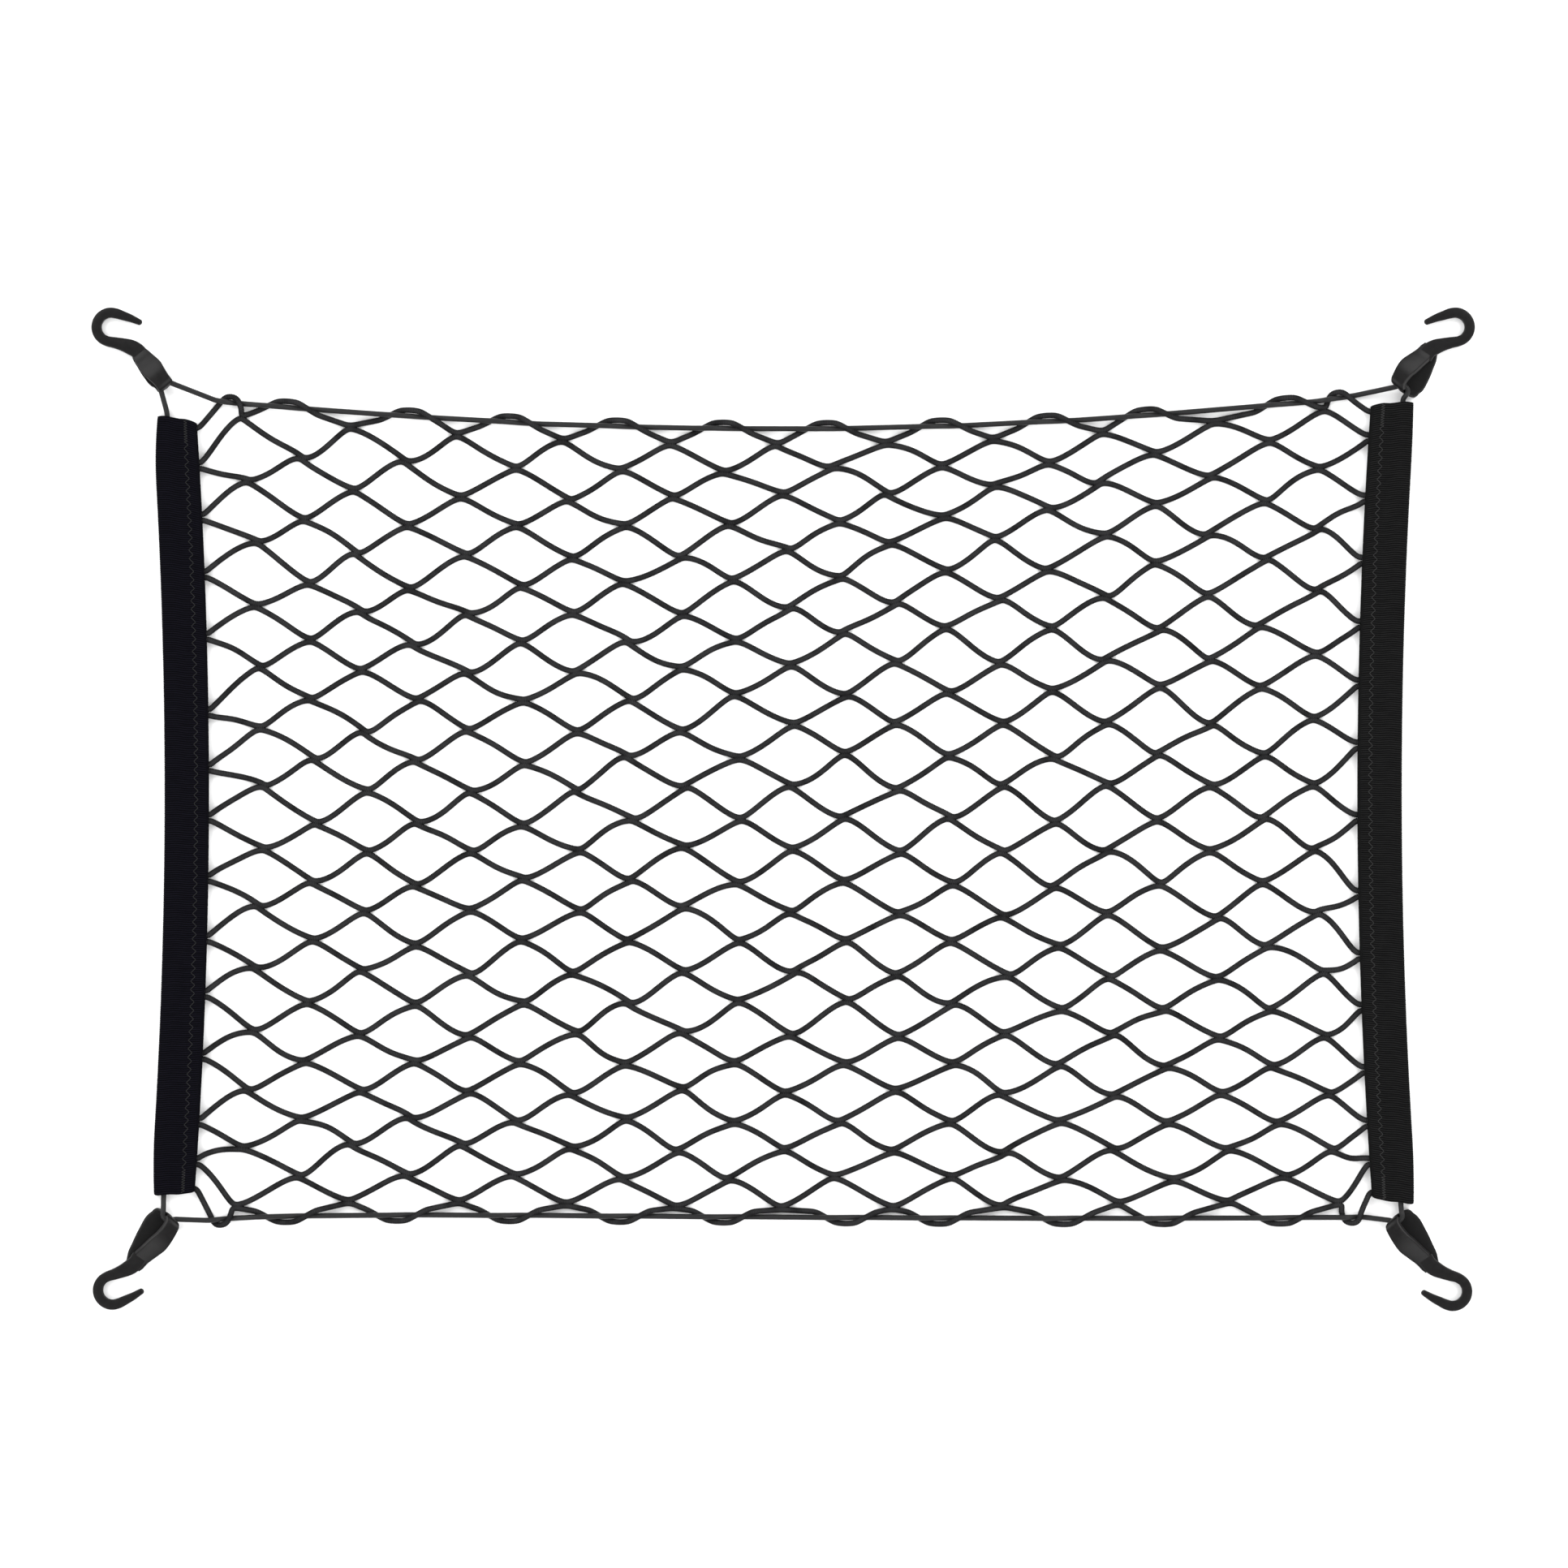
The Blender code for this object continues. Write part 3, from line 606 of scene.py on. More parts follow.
@dataclass(frozen=True)
class RibbedWebbing:
    """Matt webbing with crosswise ribs of fine yarns, painted lighter on their crests and with
    painted shade between them.

    The UV map holds millimetres across the webbing from its upper open edge, and ribs along it.
    """

    name: str
    # painted light on the crests of ribs and yarns, and painted shade in the grooves between them
    crest: Colour
    groove: Colour = (0.0004, 0.0004, 0.0005)
    uv: str = "ribs"
    yarn: float = 0.42                          # width of a yarn, in millimetres
    half_yarn: float = 0.5                      # shift of the yarns from rib to rib
    plain_edge: float = 1.6                     # width of the upper edge that has no ribs
    ribs_start: float = 0.6                     # share of it at which the ribs start to rise
    ribs_full: float = 1.4                      # and at which they are whole
    plain_light: float = 0.35                   # of the plain edge, against a rib's crest
    yarn_height: float = 0.25                   # of the yarns against the ribs
    streak_grain: Scale = (0.12, 1.3, 1.0)      # for each millimetre across and each rib
    fuzz_grain: Scale = (4.0, 5.0, 1.0)         # likewise
    grain_detail: float = 3.0
    streaks: tuple[float, float] = (0.9, 0.35)  # contrast and floor
    fuzz: tuple[float, float] = (0.5, 0.7)      # likewise
    fuzz_height: float = 0.4
    relief: float = 0.7
    depth: float = 0.35
    roughness: float = 0.8
    gloss: float = 0.02

    def material(self) -> bpy.types.Material:
        """Rib height is a wave along the webbing, broken into yarns by a finer wave across it that
        shifts by half a yarn from rib to rib, and it fades on the plain edge. The colour follows it,
        with painted light on the crests and painted shade in the grooves.

        Returns:
            The material.
        """
        shader = Shader(self.name)
        place = shader.uv_place(self.uv)
        across, along = shader.axes(place)
        rib = shader.wave(along)
        shift = shader.math("MULTIPLY", shader.math("ROUND", along), self.half_yarn)
        yarns = shader.wave(shader.math("MULTIPLY_ADD", across, 1 / self.yarn, shift))
        inside = shader.math("DIVIDE", across, self.plain_edge)
        rising = {"Value": inside, "From Min": self.ribs_start, "From Max": self.ribs_full}
        ribbed = shader.add("ShaderNodeMapRange", rising,
                            interpolation_type="SMOOTHSTEP").outputs[0]
        streaks = shader.noise(shader.stretched(place, self.streak_grain), 1.0, self.grain_detail)
        fuzz = shader.noise(shader.stretched(place, self.fuzz_grain), 1.0, self.grain_detail)
        shown = shader.math("MULTIPLY", rib, ribbed)
        plain = shader.math("MULTIPLY_ADD", ribbed, -self.plain_light, self.plain_light)
        base = shader.math("ADD", shown, plain)
        woven = shader.math("MULTIPLY_ADD", yarns, self.yarn_height, base)
        lit = shader.math("MULTIPLY", woven, shader.math("MULTIPLY_ADD", streaks, *self.streaks))
        light = shader.math("MULTIPLY", lit, shader.math("MULTIPLY_ADD", fuzz, *self.fuzz))
        shader.colour(shader.blend(light, self.groove, self.crest))
        height = shader.math("MULTIPLY_ADD", fuzz, self.fuzz_height, woven)
        shader.relief(height, self.relief, self.depth)
        shader.set(Roughness=self.roughness, Specular_IOR_Level=self.gloss)
        return shader.material


@dataclass(frozen=True)
class SewingThread:
    """Twisted polyester thread. The UV map holds millimetres along it, and turns round it."""

    name: str
    uv: str = "twist"
    dark: Colour = (0.006, 0.006, 0.006)
    light: Colour = (0.034, 0.034, 0.034)
    plies: float = 2.0
    relief: float = 0.4
    depth: float = 0.08
    roughness: float = 0.6
    gloss: float = 0.3

    def material(self) -> bpy.types.Material:
        """Two plies: a wave that winds round the thread as it runs along.

        Returns:
            The material.
        """
        shader = Shader(self.name)
        along, around = shader.axes(shader.uv_place(self.uv))
        # Painted light on the plies' crests and painted shade in the grooves between them.
        plies = shader.wave(shader.math("MULTIPLY_ADD", around, self.plies, along))
        shader.colour(shader.blend(plies, self.dark, self.light))
        shader.relief(plies, self.relief, self.depth)
        shader.set(Roughness=self.roughness, Specular_IOR_Level=self.gloss)
        return shader.material


@dataclass(frozen=True)
class MouldedPlastic:
    """Tough black plastic with a soft gloss, a fine grain, scuffs, a painted highlight along the
    edges of its flat top, and painted shade inside its eye.

    The UV map holds millimetres along, and turns round: the first half turn is the outside.
    """

    name: str = "moulded_plastic"
    uv: str = "skin"
    deep: Colour = (0.0030, 0.0028, 0.0030)
    # colour of the scuffs
    scuffs_and_top_light: Colour = (0.0090, 0.0084, 0.0084)
    # colour of the painted highlight along both edges of the flat top
    edge: Colour = (0.034, 0.033, 0.033)
    painted_shade_inside: float = 0.3                   # brightness of the painted shade inside the eye, against the outside
    outside_until: float = 0.5                  # turns up to which it is the outside
    inside_from: float = 0.58                   # and from which it is the inside
    top_middle: float = 0.219                   # turns of the middle of the flat top
    highlight_from: float = 0.11                     # turns from it at which the painted highlight on its edges starts
    highlight_full: float = 0.19
    upper_until: float = 0.46                   # turns at which the upper side ends
    grain_scale: float = 2600.0                 # for each metre, as are the next two
    flow_scale: float = 110.0
    scuff_scale: float = 420.0
    scuff_shape: Scale = (1.0, 1.0, 3.0)
    grain_detail: float = 3.0
    flow_detail: float = 4.0
    scuff_detail: float = 5.0
    roughness_inside: float = 0.76
    smoother_outside: float = -0.5              # change of roughness from inside to outside
    scuff_roughness: float = 0.2
    relief: float = 0.1
    depth: float = 0.1
    gloss: float = 0.15

    def material(self) -> bpy.types.Material:
        """Grain and scuffs are noises of two sizes in the piece's own place. The edges at both
        sides of the flat top carry a painted highlight, and the inside of the eye is painted darker
        as shade, and is duller.

        Returns:
            The material.
        """
        shader = Shader(self.name)
        around = shader.axes(shader.uv_place(self.uv))[1]
        # Painted shade inside the eye: its colour is scaled down there, and the same mask makes it
        # rougher.
        outside = shader.add("ShaderNodeMapRange", {
            "Value": around, "From Min": self.inside_from, "From Max": self.outside_until,
            "To Min": self.painted_shade_inside}).outputs[0]
        place = shader.object_place()
        grain = shader.noise(place, self.grain_scale, self.grain_detail)
        flow = shader.noise(place, self.flow_scale, self.flow_detail)
        scuffs = shader.noise(shader.stretched(place, self.scuff_shape), self.scuff_scale,
                              self.scuff_detail)
        scuffs_and_top_light = shader.blend(shader.math("MULTIPLY", flow, scuffs), self.deep, self.scuffs_and_top_light)
        # Painted highlight along both edges of the flat top, on its upper side, in patches of the
        # flow noise.
        from_top = shader.math("ABSOLUTE", shader.math("SUBTRACT", around, self.top_middle))
        painted_light_mask = shader.add("ShaderNodeMapRange", {
            "Value": from_top, "From Min": self.highlight_from, "From Max": self.highlight_full}).outputs[0]
        upper = shader.math("LESS_THAN", around, self.upper_until)
        edge_highlight_mask = shader.math("MULTIPLY", shader.math("MULTIPLY", painted_light_mask, upper), flow)
        skin = {0: shader.blend(edge_highlight_mask, scuffs_and_top_light, self.edge), "Scale": outside}
        shader.colour(shader.add("ShaderNodeVectorMath", skin, operation="SCALE").outputs[0])
        smooth = shader.math("MULTIPLY_ADD", outside, self.smoother_outside, self.roughness_inside)
        rough = shader.math("MULTIPLY_ADD", scuffs, self.scuff_roughness, smooth)
        shader.tree.links.new(rough, shader.surface.inputs["Roughness"])
        shader.relief(shader.math("ADD", flow, grain), self.relief, self.depth)
        shader.set(Specular_IOR_Level=self.gloss)
        return shader.material


@dataclass(frozen=True)
class PaleFloor:
    """Plain white studio surface."""

    name: str = "pale_floor"
    light: Colour = (0.93, 0.93, 0.93)
    dark: Colour = (0.9207, 0.9207, 0.9207)
    patch_scale: float = 0.7
    patch_detail: float = 1.0
    roughness: float = 0.95
    gloss: float = 0.0

    def material(self) -> bpy.types.Material:
        """Flat white with the faintest unevenness.

        Returns:
            The material.
        """
        shader = Shader(self.name)
        tone = shader.noise(shader.object_place(), self.patch_scale, self.patch_detail)
        shader.colour(shader.blend(tone, self.light, self.dark))
        shader.set(Roughness=self.roughness, Specular_IOR_Level=self.gloss)
        return shader.material


# ---------------------------------------------------------------- layout


@dataclass(frozen=True)
class Layout:
    """Where knots, loops, cord and sleeves lie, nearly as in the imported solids. Nearer to the photo
    than theirs, the cord is a little thicker and lies up to 2 mm apart by the hooks, and the
    sleeves are a little wider and more bowed."""

    last_column: int = 22
    last_row: int = 26              # in half meshes
    unevenness: float = 1.1         # standard deviation of an inner knot's stray
    seed: int = 4
    strand_width: float = 3.2
    strand_height: float = 3.0
    gap: float = 0.3                # between pieces that lie against each other
    webbing: float = 1.2            # thickness of one layer
    cord_diameter: float = 3.1
    sleeve_width: float = 25.8
    sleeve_x: float = 352.7         # of the centre line at the sleeve's ends
    sleeve_bow: float = 7.1         # how far the net pulls the middle inwards
    bow_centre: float = 10.0        # y at which that is most
    bow_half: float = 215.0
    sleeve_entry: float = 1.0       # strands reach a sleeve's level this far before its open edge
    sleeve_hold: float = 5.5        # and run this far into it
    loop_crossing: float = 11.5     # from an edge loop's middle to where its leg crosses the cord
    crossing_half: float = 5.6      # half the length of cord that such a leg lies on
    loop_foot: float = 3.2          # how far a loop's feet stand inside the cord
    loop_shoulder: float = 3.2      # its shoulders outside it
    loop_reach: float = 3.6         # and its middle
    leg_lifts: tuple[float, ...] = (0.0, 0.0, 0.5, 1.0, 1.0)    # from a low leg to a high one
    # Places on a corner loop, from its middle towards the sleeve, and outwards from the cord.
    corner_near_foot: tuple[float, float] = (-7.2, -3.4)
    corner_near_shoulder: tuple[float, float] = (-4.4, 2.9)
    corner_middle: tuple[float, float] = (-0.8, 3.6)
    corner_far_shoulder: tuple[float, float] = (2.6, 3.1)

    @property
    def held_lift(self) -> float:
        """How much higher the strands lie on a sleeve's lower layer."""
        return self.webbing + self.gap

    @property
    def loop_lifts(self) -> Array:
        """How much higher a loop's five points lie, from the leg under the cord to that over it."""
        return np.array(self.leg_lifts) * (self.cord_diameter + self.gap)

    @property
    def loop_crossings(self) -> Array:
        """The four x, from a loop's middle, between which its two legs lie on the cord."""
        half = self.crossing_half
        return np.array((-1, -1, 1, 1)) * self.loop_crossing + np.array((-half, half, -half, half))

    def sleeve_centre(self, side: Side, y: ArrayLike) -> Array:
        """X of a sleeve's centre line: a parabola that bows towards the net."""
        share = (np.asarray(y) - self.bow_centre) / self.bow_half
        return side.value * (self.sleeve_x - self.sleeve_bow * (1 - share * share))

    def cord_line(self, edge: Edge, x: ArrayLike) -> Array:
        """Y of the cord along a long edge, straight between the places of CORD_RUNS."""
        stations, top, bottom = zip(*CORD_RUNS)
        return np.interp(x, stations, top if edge is Edge.TOP else bottom)

    def knots(self) -> Array:
        """Place of every knot: for each column, polynomials through the net's sections, and a
        seeded stray of the inner knots. The outer columns are where strands enter the sleeves.

        Returns:
            X and y by column and half row, without a number where there is no knot.
        """
        stray = np.random.default_rng(self.seed)
        sections = np.array(NET_SECTIONS, float)
        places = np.full((self.last_column + 1, self.last_row + 1, 2), np.nan)
        for column in range(1, self.last_column):
            rows = np.arange((column + 1) % 2, self.last_row + 1, 2)
            settled = [through(sections[:, 0], values, column) for values in sections[:, 1:].T]
            x = through(np.linspace(0, self.last_row, 3), settled[:3], rows)
            y = through(np.linspace(0, self.last_row, 5), settled[3:], rows)
            inner = (rows > 0) & (rows < self.last_row)
            moves = within_two(stray.normal(size=(inner.sum(), 2))) * self.unevenness
            places[column, rows] = np.column_stack((x, y))
            places[column, rows[inner]] += moves
        rows = np.arange(1, self.last_row, 2)
        for side, column, heights in zip(Side, (0, self.last_column), zip(*SLEEVE_MESHES)):
            inner_edge = self.sleeve_width / 2 + self.sleeve_entry
            places[column, rows, 0] = self.sleeve_centre(side, heights) - side.value * inner_edge
            places[column, rows, 1] = heights
        return places

    def corner_x(self, edge: Edge, side: Side) -> float:
        """Place of a corner loop: beside the outermost knot, towards the sleeve.

        Args:
            edge: The long edge.
            side: The end of the net.

        Returns:
            X of the loop's middle.
        """
        column = 1 if side is Side.LEFT else self.last_column - 1
        row = 0 if edge is Edge.TOP else self.last_row
        return float(self.knots()[column, row, 0] + side.value * CORNER_LOOPS[side, edge].from_knot)

    def edge_loop(self, edge: Edge, middle: float) -> Array:
        """An edge loop, left to right: under the cord on its left and over it on its right.

        Args:
            edge: The long edge.
            middle: X of the loop's middle.

        Returns:
            X, y and lift of its points.
        """
        x = middle + np.insert(self.loop_crossings, 2, 0.0)
        out = np.array((-self.loop_foot, self.loop_shoulder, self.loop_reach,
                        self.loop_shoulder, -self.loop_foot))
        y = self.cord_line(edge, x) + edge.value * out
        return np.column_stack((x, y, self.loop_lifts))

    def corner_loop(self, edge: Edge, side: Side) -> Array:
        """A corner loop, from its knot over or under the cord and into the sleeve.

        Args:
            edge: The long edge.
            side: The end of the net.

        Returns:
            X, y and lift of its points.
        """
        loop = CORNER_LOOPS[side, edge]
        stations = np.array((self.corner_near_foot, self.corner_near_shoulder, self.corner_middle,
                             self.corner_far_shoulder, (loop.foot, -loop.foot_inside)))
        x = self.corner_x(edge, side) + side.value * stations[:, 0]
        y = self.cord_line(edge, x) + edge.value * stations[:, 1]
        lift = self.loop_lifts[::side.value]
        centre = self.sleeve_centre(side, loop.sleeve_height)
        inner_edge = centre - side.value * self.sleeve_width / 2
        ends = [(inner_edge + side.value * inside, loop.sleeve_height, self.held_lift)
                for inside in (-self.sleeve_entry, self.sleeve_hold)]
        return np.vstack((np.column_stack((x, y, lift)), ends))

    def corner_crossings(self, edge: Edge, side: Side) -> Array:
        """Where a corner loop's legs lie on the cord. A leg crosses the cord's centre line where
        its slope brings it down from its shoulder, and covers it for its own width over the sine
        of the slope and the cord's width over the tangent.

        Args:
            edge: The long edge.
            side: The end of the net.

        Returns:
            The four x, left to right, between which the two legs lie on it.
        """
        loop = CORNER_LOOPS[side, edge]
        legs = ((self.corner_near_shoulder, self.corner_near_foot),
                (self.corner_far_shoulder, (loop.foot, -loop.foot_inside)))
        places = []
        for shoulder, foot in legs:
            slope = np.arctan2(shoulder[1] - foot[1], abs(foot[0] - shoulder[0]))
            half = (self.strand_width + self.cord_diameter * np.cos(slope)) / 2 / np.sin(slope)
            share = shoulder[1] / (shoulder[1] - foot[1])
            crossing = shoulder[0] + share * (foot[0] - shoulder[0])
            places += [crossing - half, crossing + half]
        return np.sort(self.corner_x(edge, side) + side.value * np.array(places))


# ---------------------------------------------------------------- net


@dataclass
class StrandNet:
    """The knitted net: 26 strands that meet their neighbours in knots, and its two edge strands."""

    layout: Layout
    finish: KnittedElastic = KnittedElastic()
    bands: int = 5
    straight_run: float = 2.7       # level length of the edge strands at a knot
    tilts: tuple[float, ...] = (-0.42, -0.24, 0.0, 0.1, 0.26)   # slopes of knots, left to right
    tilt_spread: float = 0.32
    rise_at_sleeve: float = 0.85    # slope of a rising strand where it meets a sleeve
    falls_at_sleeves: tuple[float, float] = (-0.3, -0.1)        # of a falling one, left and right
    turn: float = 1.1               # length over which a strand first turns away from a knot
    turn_share: float = 0.25        # and what part of the turning that is
    bend: float = 6.6               # length over which it turns the rest
    bend_spread: float = 0.5        # how much that varies from strand to strand
    bow_spread: float = 0.7         # how far a strand sags or bulges between knots
    seed: int = 11
    beside_knot: float = 1.02       # from a knot's centre to its strands' centres
    beside_sleeve: float = 1.8      # the same where two strands meet a sleeve
    samples: int = 64               # points from knot to knot
    rounding: float = 0.8           # radius over which a strand's bends are rounded
    edge_rounding: float = 1.9      # the same for the edge strands
    stitch: float = 0.93            # length of one stitch
    sides: int = 8
    half_width: float = 1.68
    half_height: float = 1.38
    stitch_relief: float = 0.075    # crests and grooves of the stitches
    row: float = 17.1               # from one strand to the next
    knit_fullness: float = 1.1      # surface of the stitches over that of a smooth strand

    def slopes(self, falls: Array) -> tuple[Array, Array]:
        """Slopes at both ends of every stretch of strand: its knots' own, which vary by place and
        by a seeded chance, or those that strands have at the sleeves.

        Args:
            falls: Whether each stretch goes down, by strand and column.

        Returns:
            Slopes at the left ends and at the right ends.
        """
        columns, rows = self.layout.last_column + 1, self.layout.last_row + 1
        stations = np.linspace(0, columns - 1, len(self.tilts))
        chance = np.random.default_rng(self.seed).normal(size=(columns, rows))
        tilt = np.interp(np.arange(columns), stations, self.tilts)[:, None] + (
            within_two(chance) * self.tilt_spread)
        strand, column = np.indices(falls.shape)
        left = tilt[column, np.where(falls, strand, strand + 1)]
        right = tilt[column + 1, np.where(falls, strand + 1, strand)]
        left[:, 0] = np.where(falls[:, 0], self.falls_at_sleeves[0], self.rise_at_sleeve)
        right[:, -1] = np.where(falls[:, -1], self.falls_at_sleeves[1], self.rise_at_sleeve)
        return left[..., None], right[..., None]

    def mesh_strands(self) -> list[Array]:
        """Centre lines of the strands between two rows of knots.

        A strand has its knot's slope at each knot and turns away from it as one less two falling
        exponentials of the distance, over the turn and over the bend. What it keeps between knots
        is the slope that makes up the height. A squared half sine of a seeded size is added.

        Returns:
            For each strand its x, y and lift.
        """
        layout = self.layout
        knots = layout.knots()
        columns = np.arange(layout.last_column + 1)
        strands = np.arange(layout.last_row)
        column, strand = np.meshgrid(columns, strands)
        below = (column + strand) % 2 == 1
        place = knots[column, np.where(below, strand, strand + 1)]
        beside = np.full(len(columns), self.beside_knot)
        beside[[0, -1]] = self.beside_sleeve
        place[..., 1] += np.where(below, -beside, beside)
        start, end = place[:, :-1], place[:, 1:]
        width = (end - start)[..., :1]
        left, right = self.slopes(below[:, :-1])
        chance = within_two(np.random.default_rng(self.seed + 1).normal(size=(3, *left.shape)))
        bend = self.bend * np.exp(self.bend_spread * chance[:2])
        share = np.linspace(0, 1, self.samples)
        across = share * width
        short, long = self.turn_share, 1 - self.turn_share
        leave = 1 - short * np.exp(-across / self.turn) - long * np.exp(-across / bend[0])
        rest = across - width
        arrive = 1 - short * np.exp(rest / self.turn) - long * np.exp(rest / bend[1])
        step = width / (self.samples - 1)
        turned = running_sum(left * (1 - leave) + right * (1 - arrive), step)
        free = running_sum(leave * arrive, step)
        slope = ((end - start)[..., 1:] - turned[..., -1:]) / free[..., -1:]
        y = start[..., 1:] + turned + slope * free + (
            self.bow_spread * chance[2] * np.sin(share * TURN / 2) ** 2)
        lift = np.zeros_like(y)
        lift[:, 0] = layout.held_lift * (1 - ease(share))
        lift[:, -1] = layout.held_lift * ease(share)
        lines = np.stack((start[..., :1] + across, y, lift), -1)[:, :, :-1].reshape(
            layout.last_row, -1, 3)
        reach = np.array((layout.sleeve_entry + layout.sleeve_hold, 0, 0))
        last = np.column_stack((end[:, -1], np.full(layout.last_row, layout.held_lift)))
        step = self.stitch / 2
        return [softened(resampled(np.vstack((line[0] - reach, line, point, point + reach)), step),
                         step, self.rounding) for line, point in zip(lines, last)]

    def edge_strand(self, edge: Edge) -> Array:
        """Centre line of the strand along a long edge: corner loop, knots and edge loops in turn.

        Args:
            edge: The long edge.

        Returns:
            X, y and lift.
        """
        layout = self.layout
        row = 0 if edge is Edge.TOP else layout.last_row
        knots = layout.knots()[1:layout.last_column:2, row]
        beside = np.array((0, edge.value * self.beside_knot))
        turn = np.array((self.straight_run / 2, 0))
        line = [layout.corner_loop(edge, Side.LEFT)[::-1]]
        for index, knot in enumerate(knots):
            ends = np.array((knot + beside - turn, knot + beside + turn))
            line.append(np.column_stack((ends, np.zeros(2))))
            if index < len(EDGE_LOOPS):
                middle = EDGE_LOOPS[index][1 if edge is Edge.TOP else 2]
                line.append(layout.edge_loop(edge, middle))
        line.append(layout.corner_loop(edge, Side.RIGHT))
        step = self.stitch / 2
        return softened(resampled(np.vstack(line), step), step, self.edge_rounding)

    def add_strand(self, surface: Surface, line: Array) -> float:
        """Knit one strand: rings half a stitch apart round its line, whose points stand out and in
        by turns, along it and round it, like the stitches of neighbouring wales.

        Args:
            surface: Mesh that it joins.
            line: X, y and lift of its centre.

        Returns:
            Its length.
        """
        line = line + np.array((0, 0, self.layout.strand_height / 2))
        line = resampled(line, self.stitch / 2)
        sideways, upward = directions(line)
        ring = np.arange(len(line))
        side = np.arange(self.sides)
        angle = side * TURN / self.sides
        out = self.stitch_relief * np.where((ring[:, None] + side) % 2 == 0, 1, -1)
        grid = swept(line, sideways, upward, np.cos(angle) * (self.half_width + out),
                     np.sin(angle) * (self.half_height + out))
        numbers = surface.add_grid(grid, ring / 2, np.arange(self.sides + 1) / self.sides)
        surface.cap(numbers)
        return float(lengths_along(line)[-1])

    def build(self) -> list[bpy.types.Object]:
        """Make the net in bands of neighbouring strands, from the top down.

        Returns:
            The bands.
        """
        lines = [self.edge_strand(Edge.TOP), *self.mesh_strands(), self.edge_strand(Edge.BOTTOM)]
        material = self.finish.material()
        made = []
        for number in range(self.bands):
            band = lines[number * len(lines) // self.bands:(number + 1) * len(lines) // self.bands]
            surface = Surface()
            length = sum(self.add_strand(surface, line) for line in band)
            piece = surface.piece(f"net_strands_{number + 1}", material, self.finish.uv)
            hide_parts("net")
            made.append(piece)
        return made


# ---------------------------------------------------------------- hooks


@dataclass(frozen=True)
class Hook:
    """A moulded J hook with a strap eye round the cord, as it lies at one corner. Its bowl is a
    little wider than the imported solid's, and its strap leans more, nearer to the photo."""

    name: str
    x: float                # of the strap's end
    y: float
    heading: float          # of the strap, in degrees
    bend: float             # from the strap to the shank
    hand: int               # side to which the bowl opens
    lean: float             # sideways shift of the strap for each unit of height, as it is rolled
    length: float           # of the strap
    height: float           # of the strap's eye
    finish: MouldedPlastic = MouldedPlastic()
    body_height: float = 5.0        # of neck, shank and bowl
    edge_radius: float = 0.75
    thin_edge: float = 0.95         # edge radius where the body is thin, against half its size
    tip_radius: float = 1.45        # length over which the arm's tip is rounded
    tip_steps: int = 6
    tip_end: float = 0.05           # width of the tip's last ring, against the body's
    bowl_centre: tuple[float, float] = (18.4, 8.9)
    bowl_radius: float = 8.4
    bowl_width: float = 5.9
    bowl_steps: int = 9
    neck: tuple[float, float] = (4.5, 9.0)      # length and width
    shank: Stations = (
        # distance from the strap, sideways to the bowl's side, width
        (4.0, 0.9, 8.9), (9.0, 1.1, 7.5), (13.5, 0.9, 6.5))
    arm: Stations = (
        (13.5, 17.2, 5.3), (9.0, 17.0, 4.5), (5.0, 16.5, 3.7), (1.9, 16.1, 3.2))
    arm_taper: float = 0.7          # how strongly the arm's height follows its width
    strap_thickness: float = 1.8
    strap_edge: float = 0.62        # its edges' radius against half of that
    strap_widest: float = 12.4      # widths of the strap, as are the next three
    strap_at_shank: float = 9.6
    strap_at_end: float = 10.0
    strap_in_shank: float = 5.8
    strap_past_neck: float = 2.5    # how far both its layers run on inside the shank
    strap_top_in_shank: float = 3.5     # height of the upper layer there
    strap_at_cord: float = 2.2      # width of the bar that the cord bears on
    strap_below: tuple[float, ...] = (0.93, 0.75, 0.5)          # stations' shares of the length
    strap_above: tuple[tuple[float, float], ...] = (            # and of the eye's height too
        (0.36, 0.99), (0.5, 0.89), (0.72, 0.62), (0.88, 0.4))
    bar_angles: tuple[float, float] = (18.0, 36.0)              # over which the narrow bar widens
    eye_radius: float = 4.2         # of the two quarter turns round the cord
    eye_steps: int = 6
    eye_flat: float = 1.2           # level run before the eye turns up
    step: float = 0.5
    corner_steps: int = 3
    neck_still: float = 2.4         # height that the lean leaves in place at the neck
    belly: float = 0.8              # how much higher that is half-way than in a straight line
    roll_power: float = 0.5         # how strongly the lean narrows the strap
    roll_reach: float = 4.0         # how far towards the neck the narrowing reaches

    def eye_width(self, angle: Array) -> Array:
        """Width of the strap at the eye: a narrow bar that widens into the strap by a smooth step.

        Args:
            angle: Turn from the outermost point of the eye, in degrees.

        Returns:
            The width at each.
        """
        start, end = self.bar_angles
        wider = ease((angle - start) / (end - start))
        return self.strap_at_cord + (self.strap_at_end - self.strap_at_cord) * wider

    def strap_line(self) -> Array:
        """The strap from the side: out of the shank along the surface, a half turn up round the
        cord, and back above it into the shank.

        Returns:
            Distance from the strap's end, height and width.
        """
        low = self.strap_thickness / 2
        high = self.height - low
        middle = (self.strap_at_shank + self.strap_widest) / 2
        turned = 90 * np.arange(self.eye_steps + 1) / self.eye_steps
        ahead = low + self.eye_radius * (1 - np.cos(np.radians(turned)))
        rise = self.eye_radius * (1 - np.sin(np.radians(turned)))
        under = np.column_stack((ahead, low + rise, self.eye_width(turned)))[::-1]
        over = np.column_stack((ahead, high - rise, self.eye_width(turned)))
        end = self.length + self.strap_past_neck
        before_turn = (low + self.eye_radius + self.eye_flat) / self.length
        widths = (self.strap_at_shank, middle, self.strap_widest,
                  (self.strap_widest + self.strap_at_end) / 2)
        return np.vstack((
            [(end, low, self.strap_in_shank)],
            [(share * self.length, low, width)
             for share, width in zip((*self.strap_below, before_turn), widths)],
            under, over,
            [(share * self.length, up * high, width)
             for (share, up), width in zip(self.strap_above, widths[::-1])],
            [(end, self.strap_top_in_shank, self.strap_in_shank)],
        ))

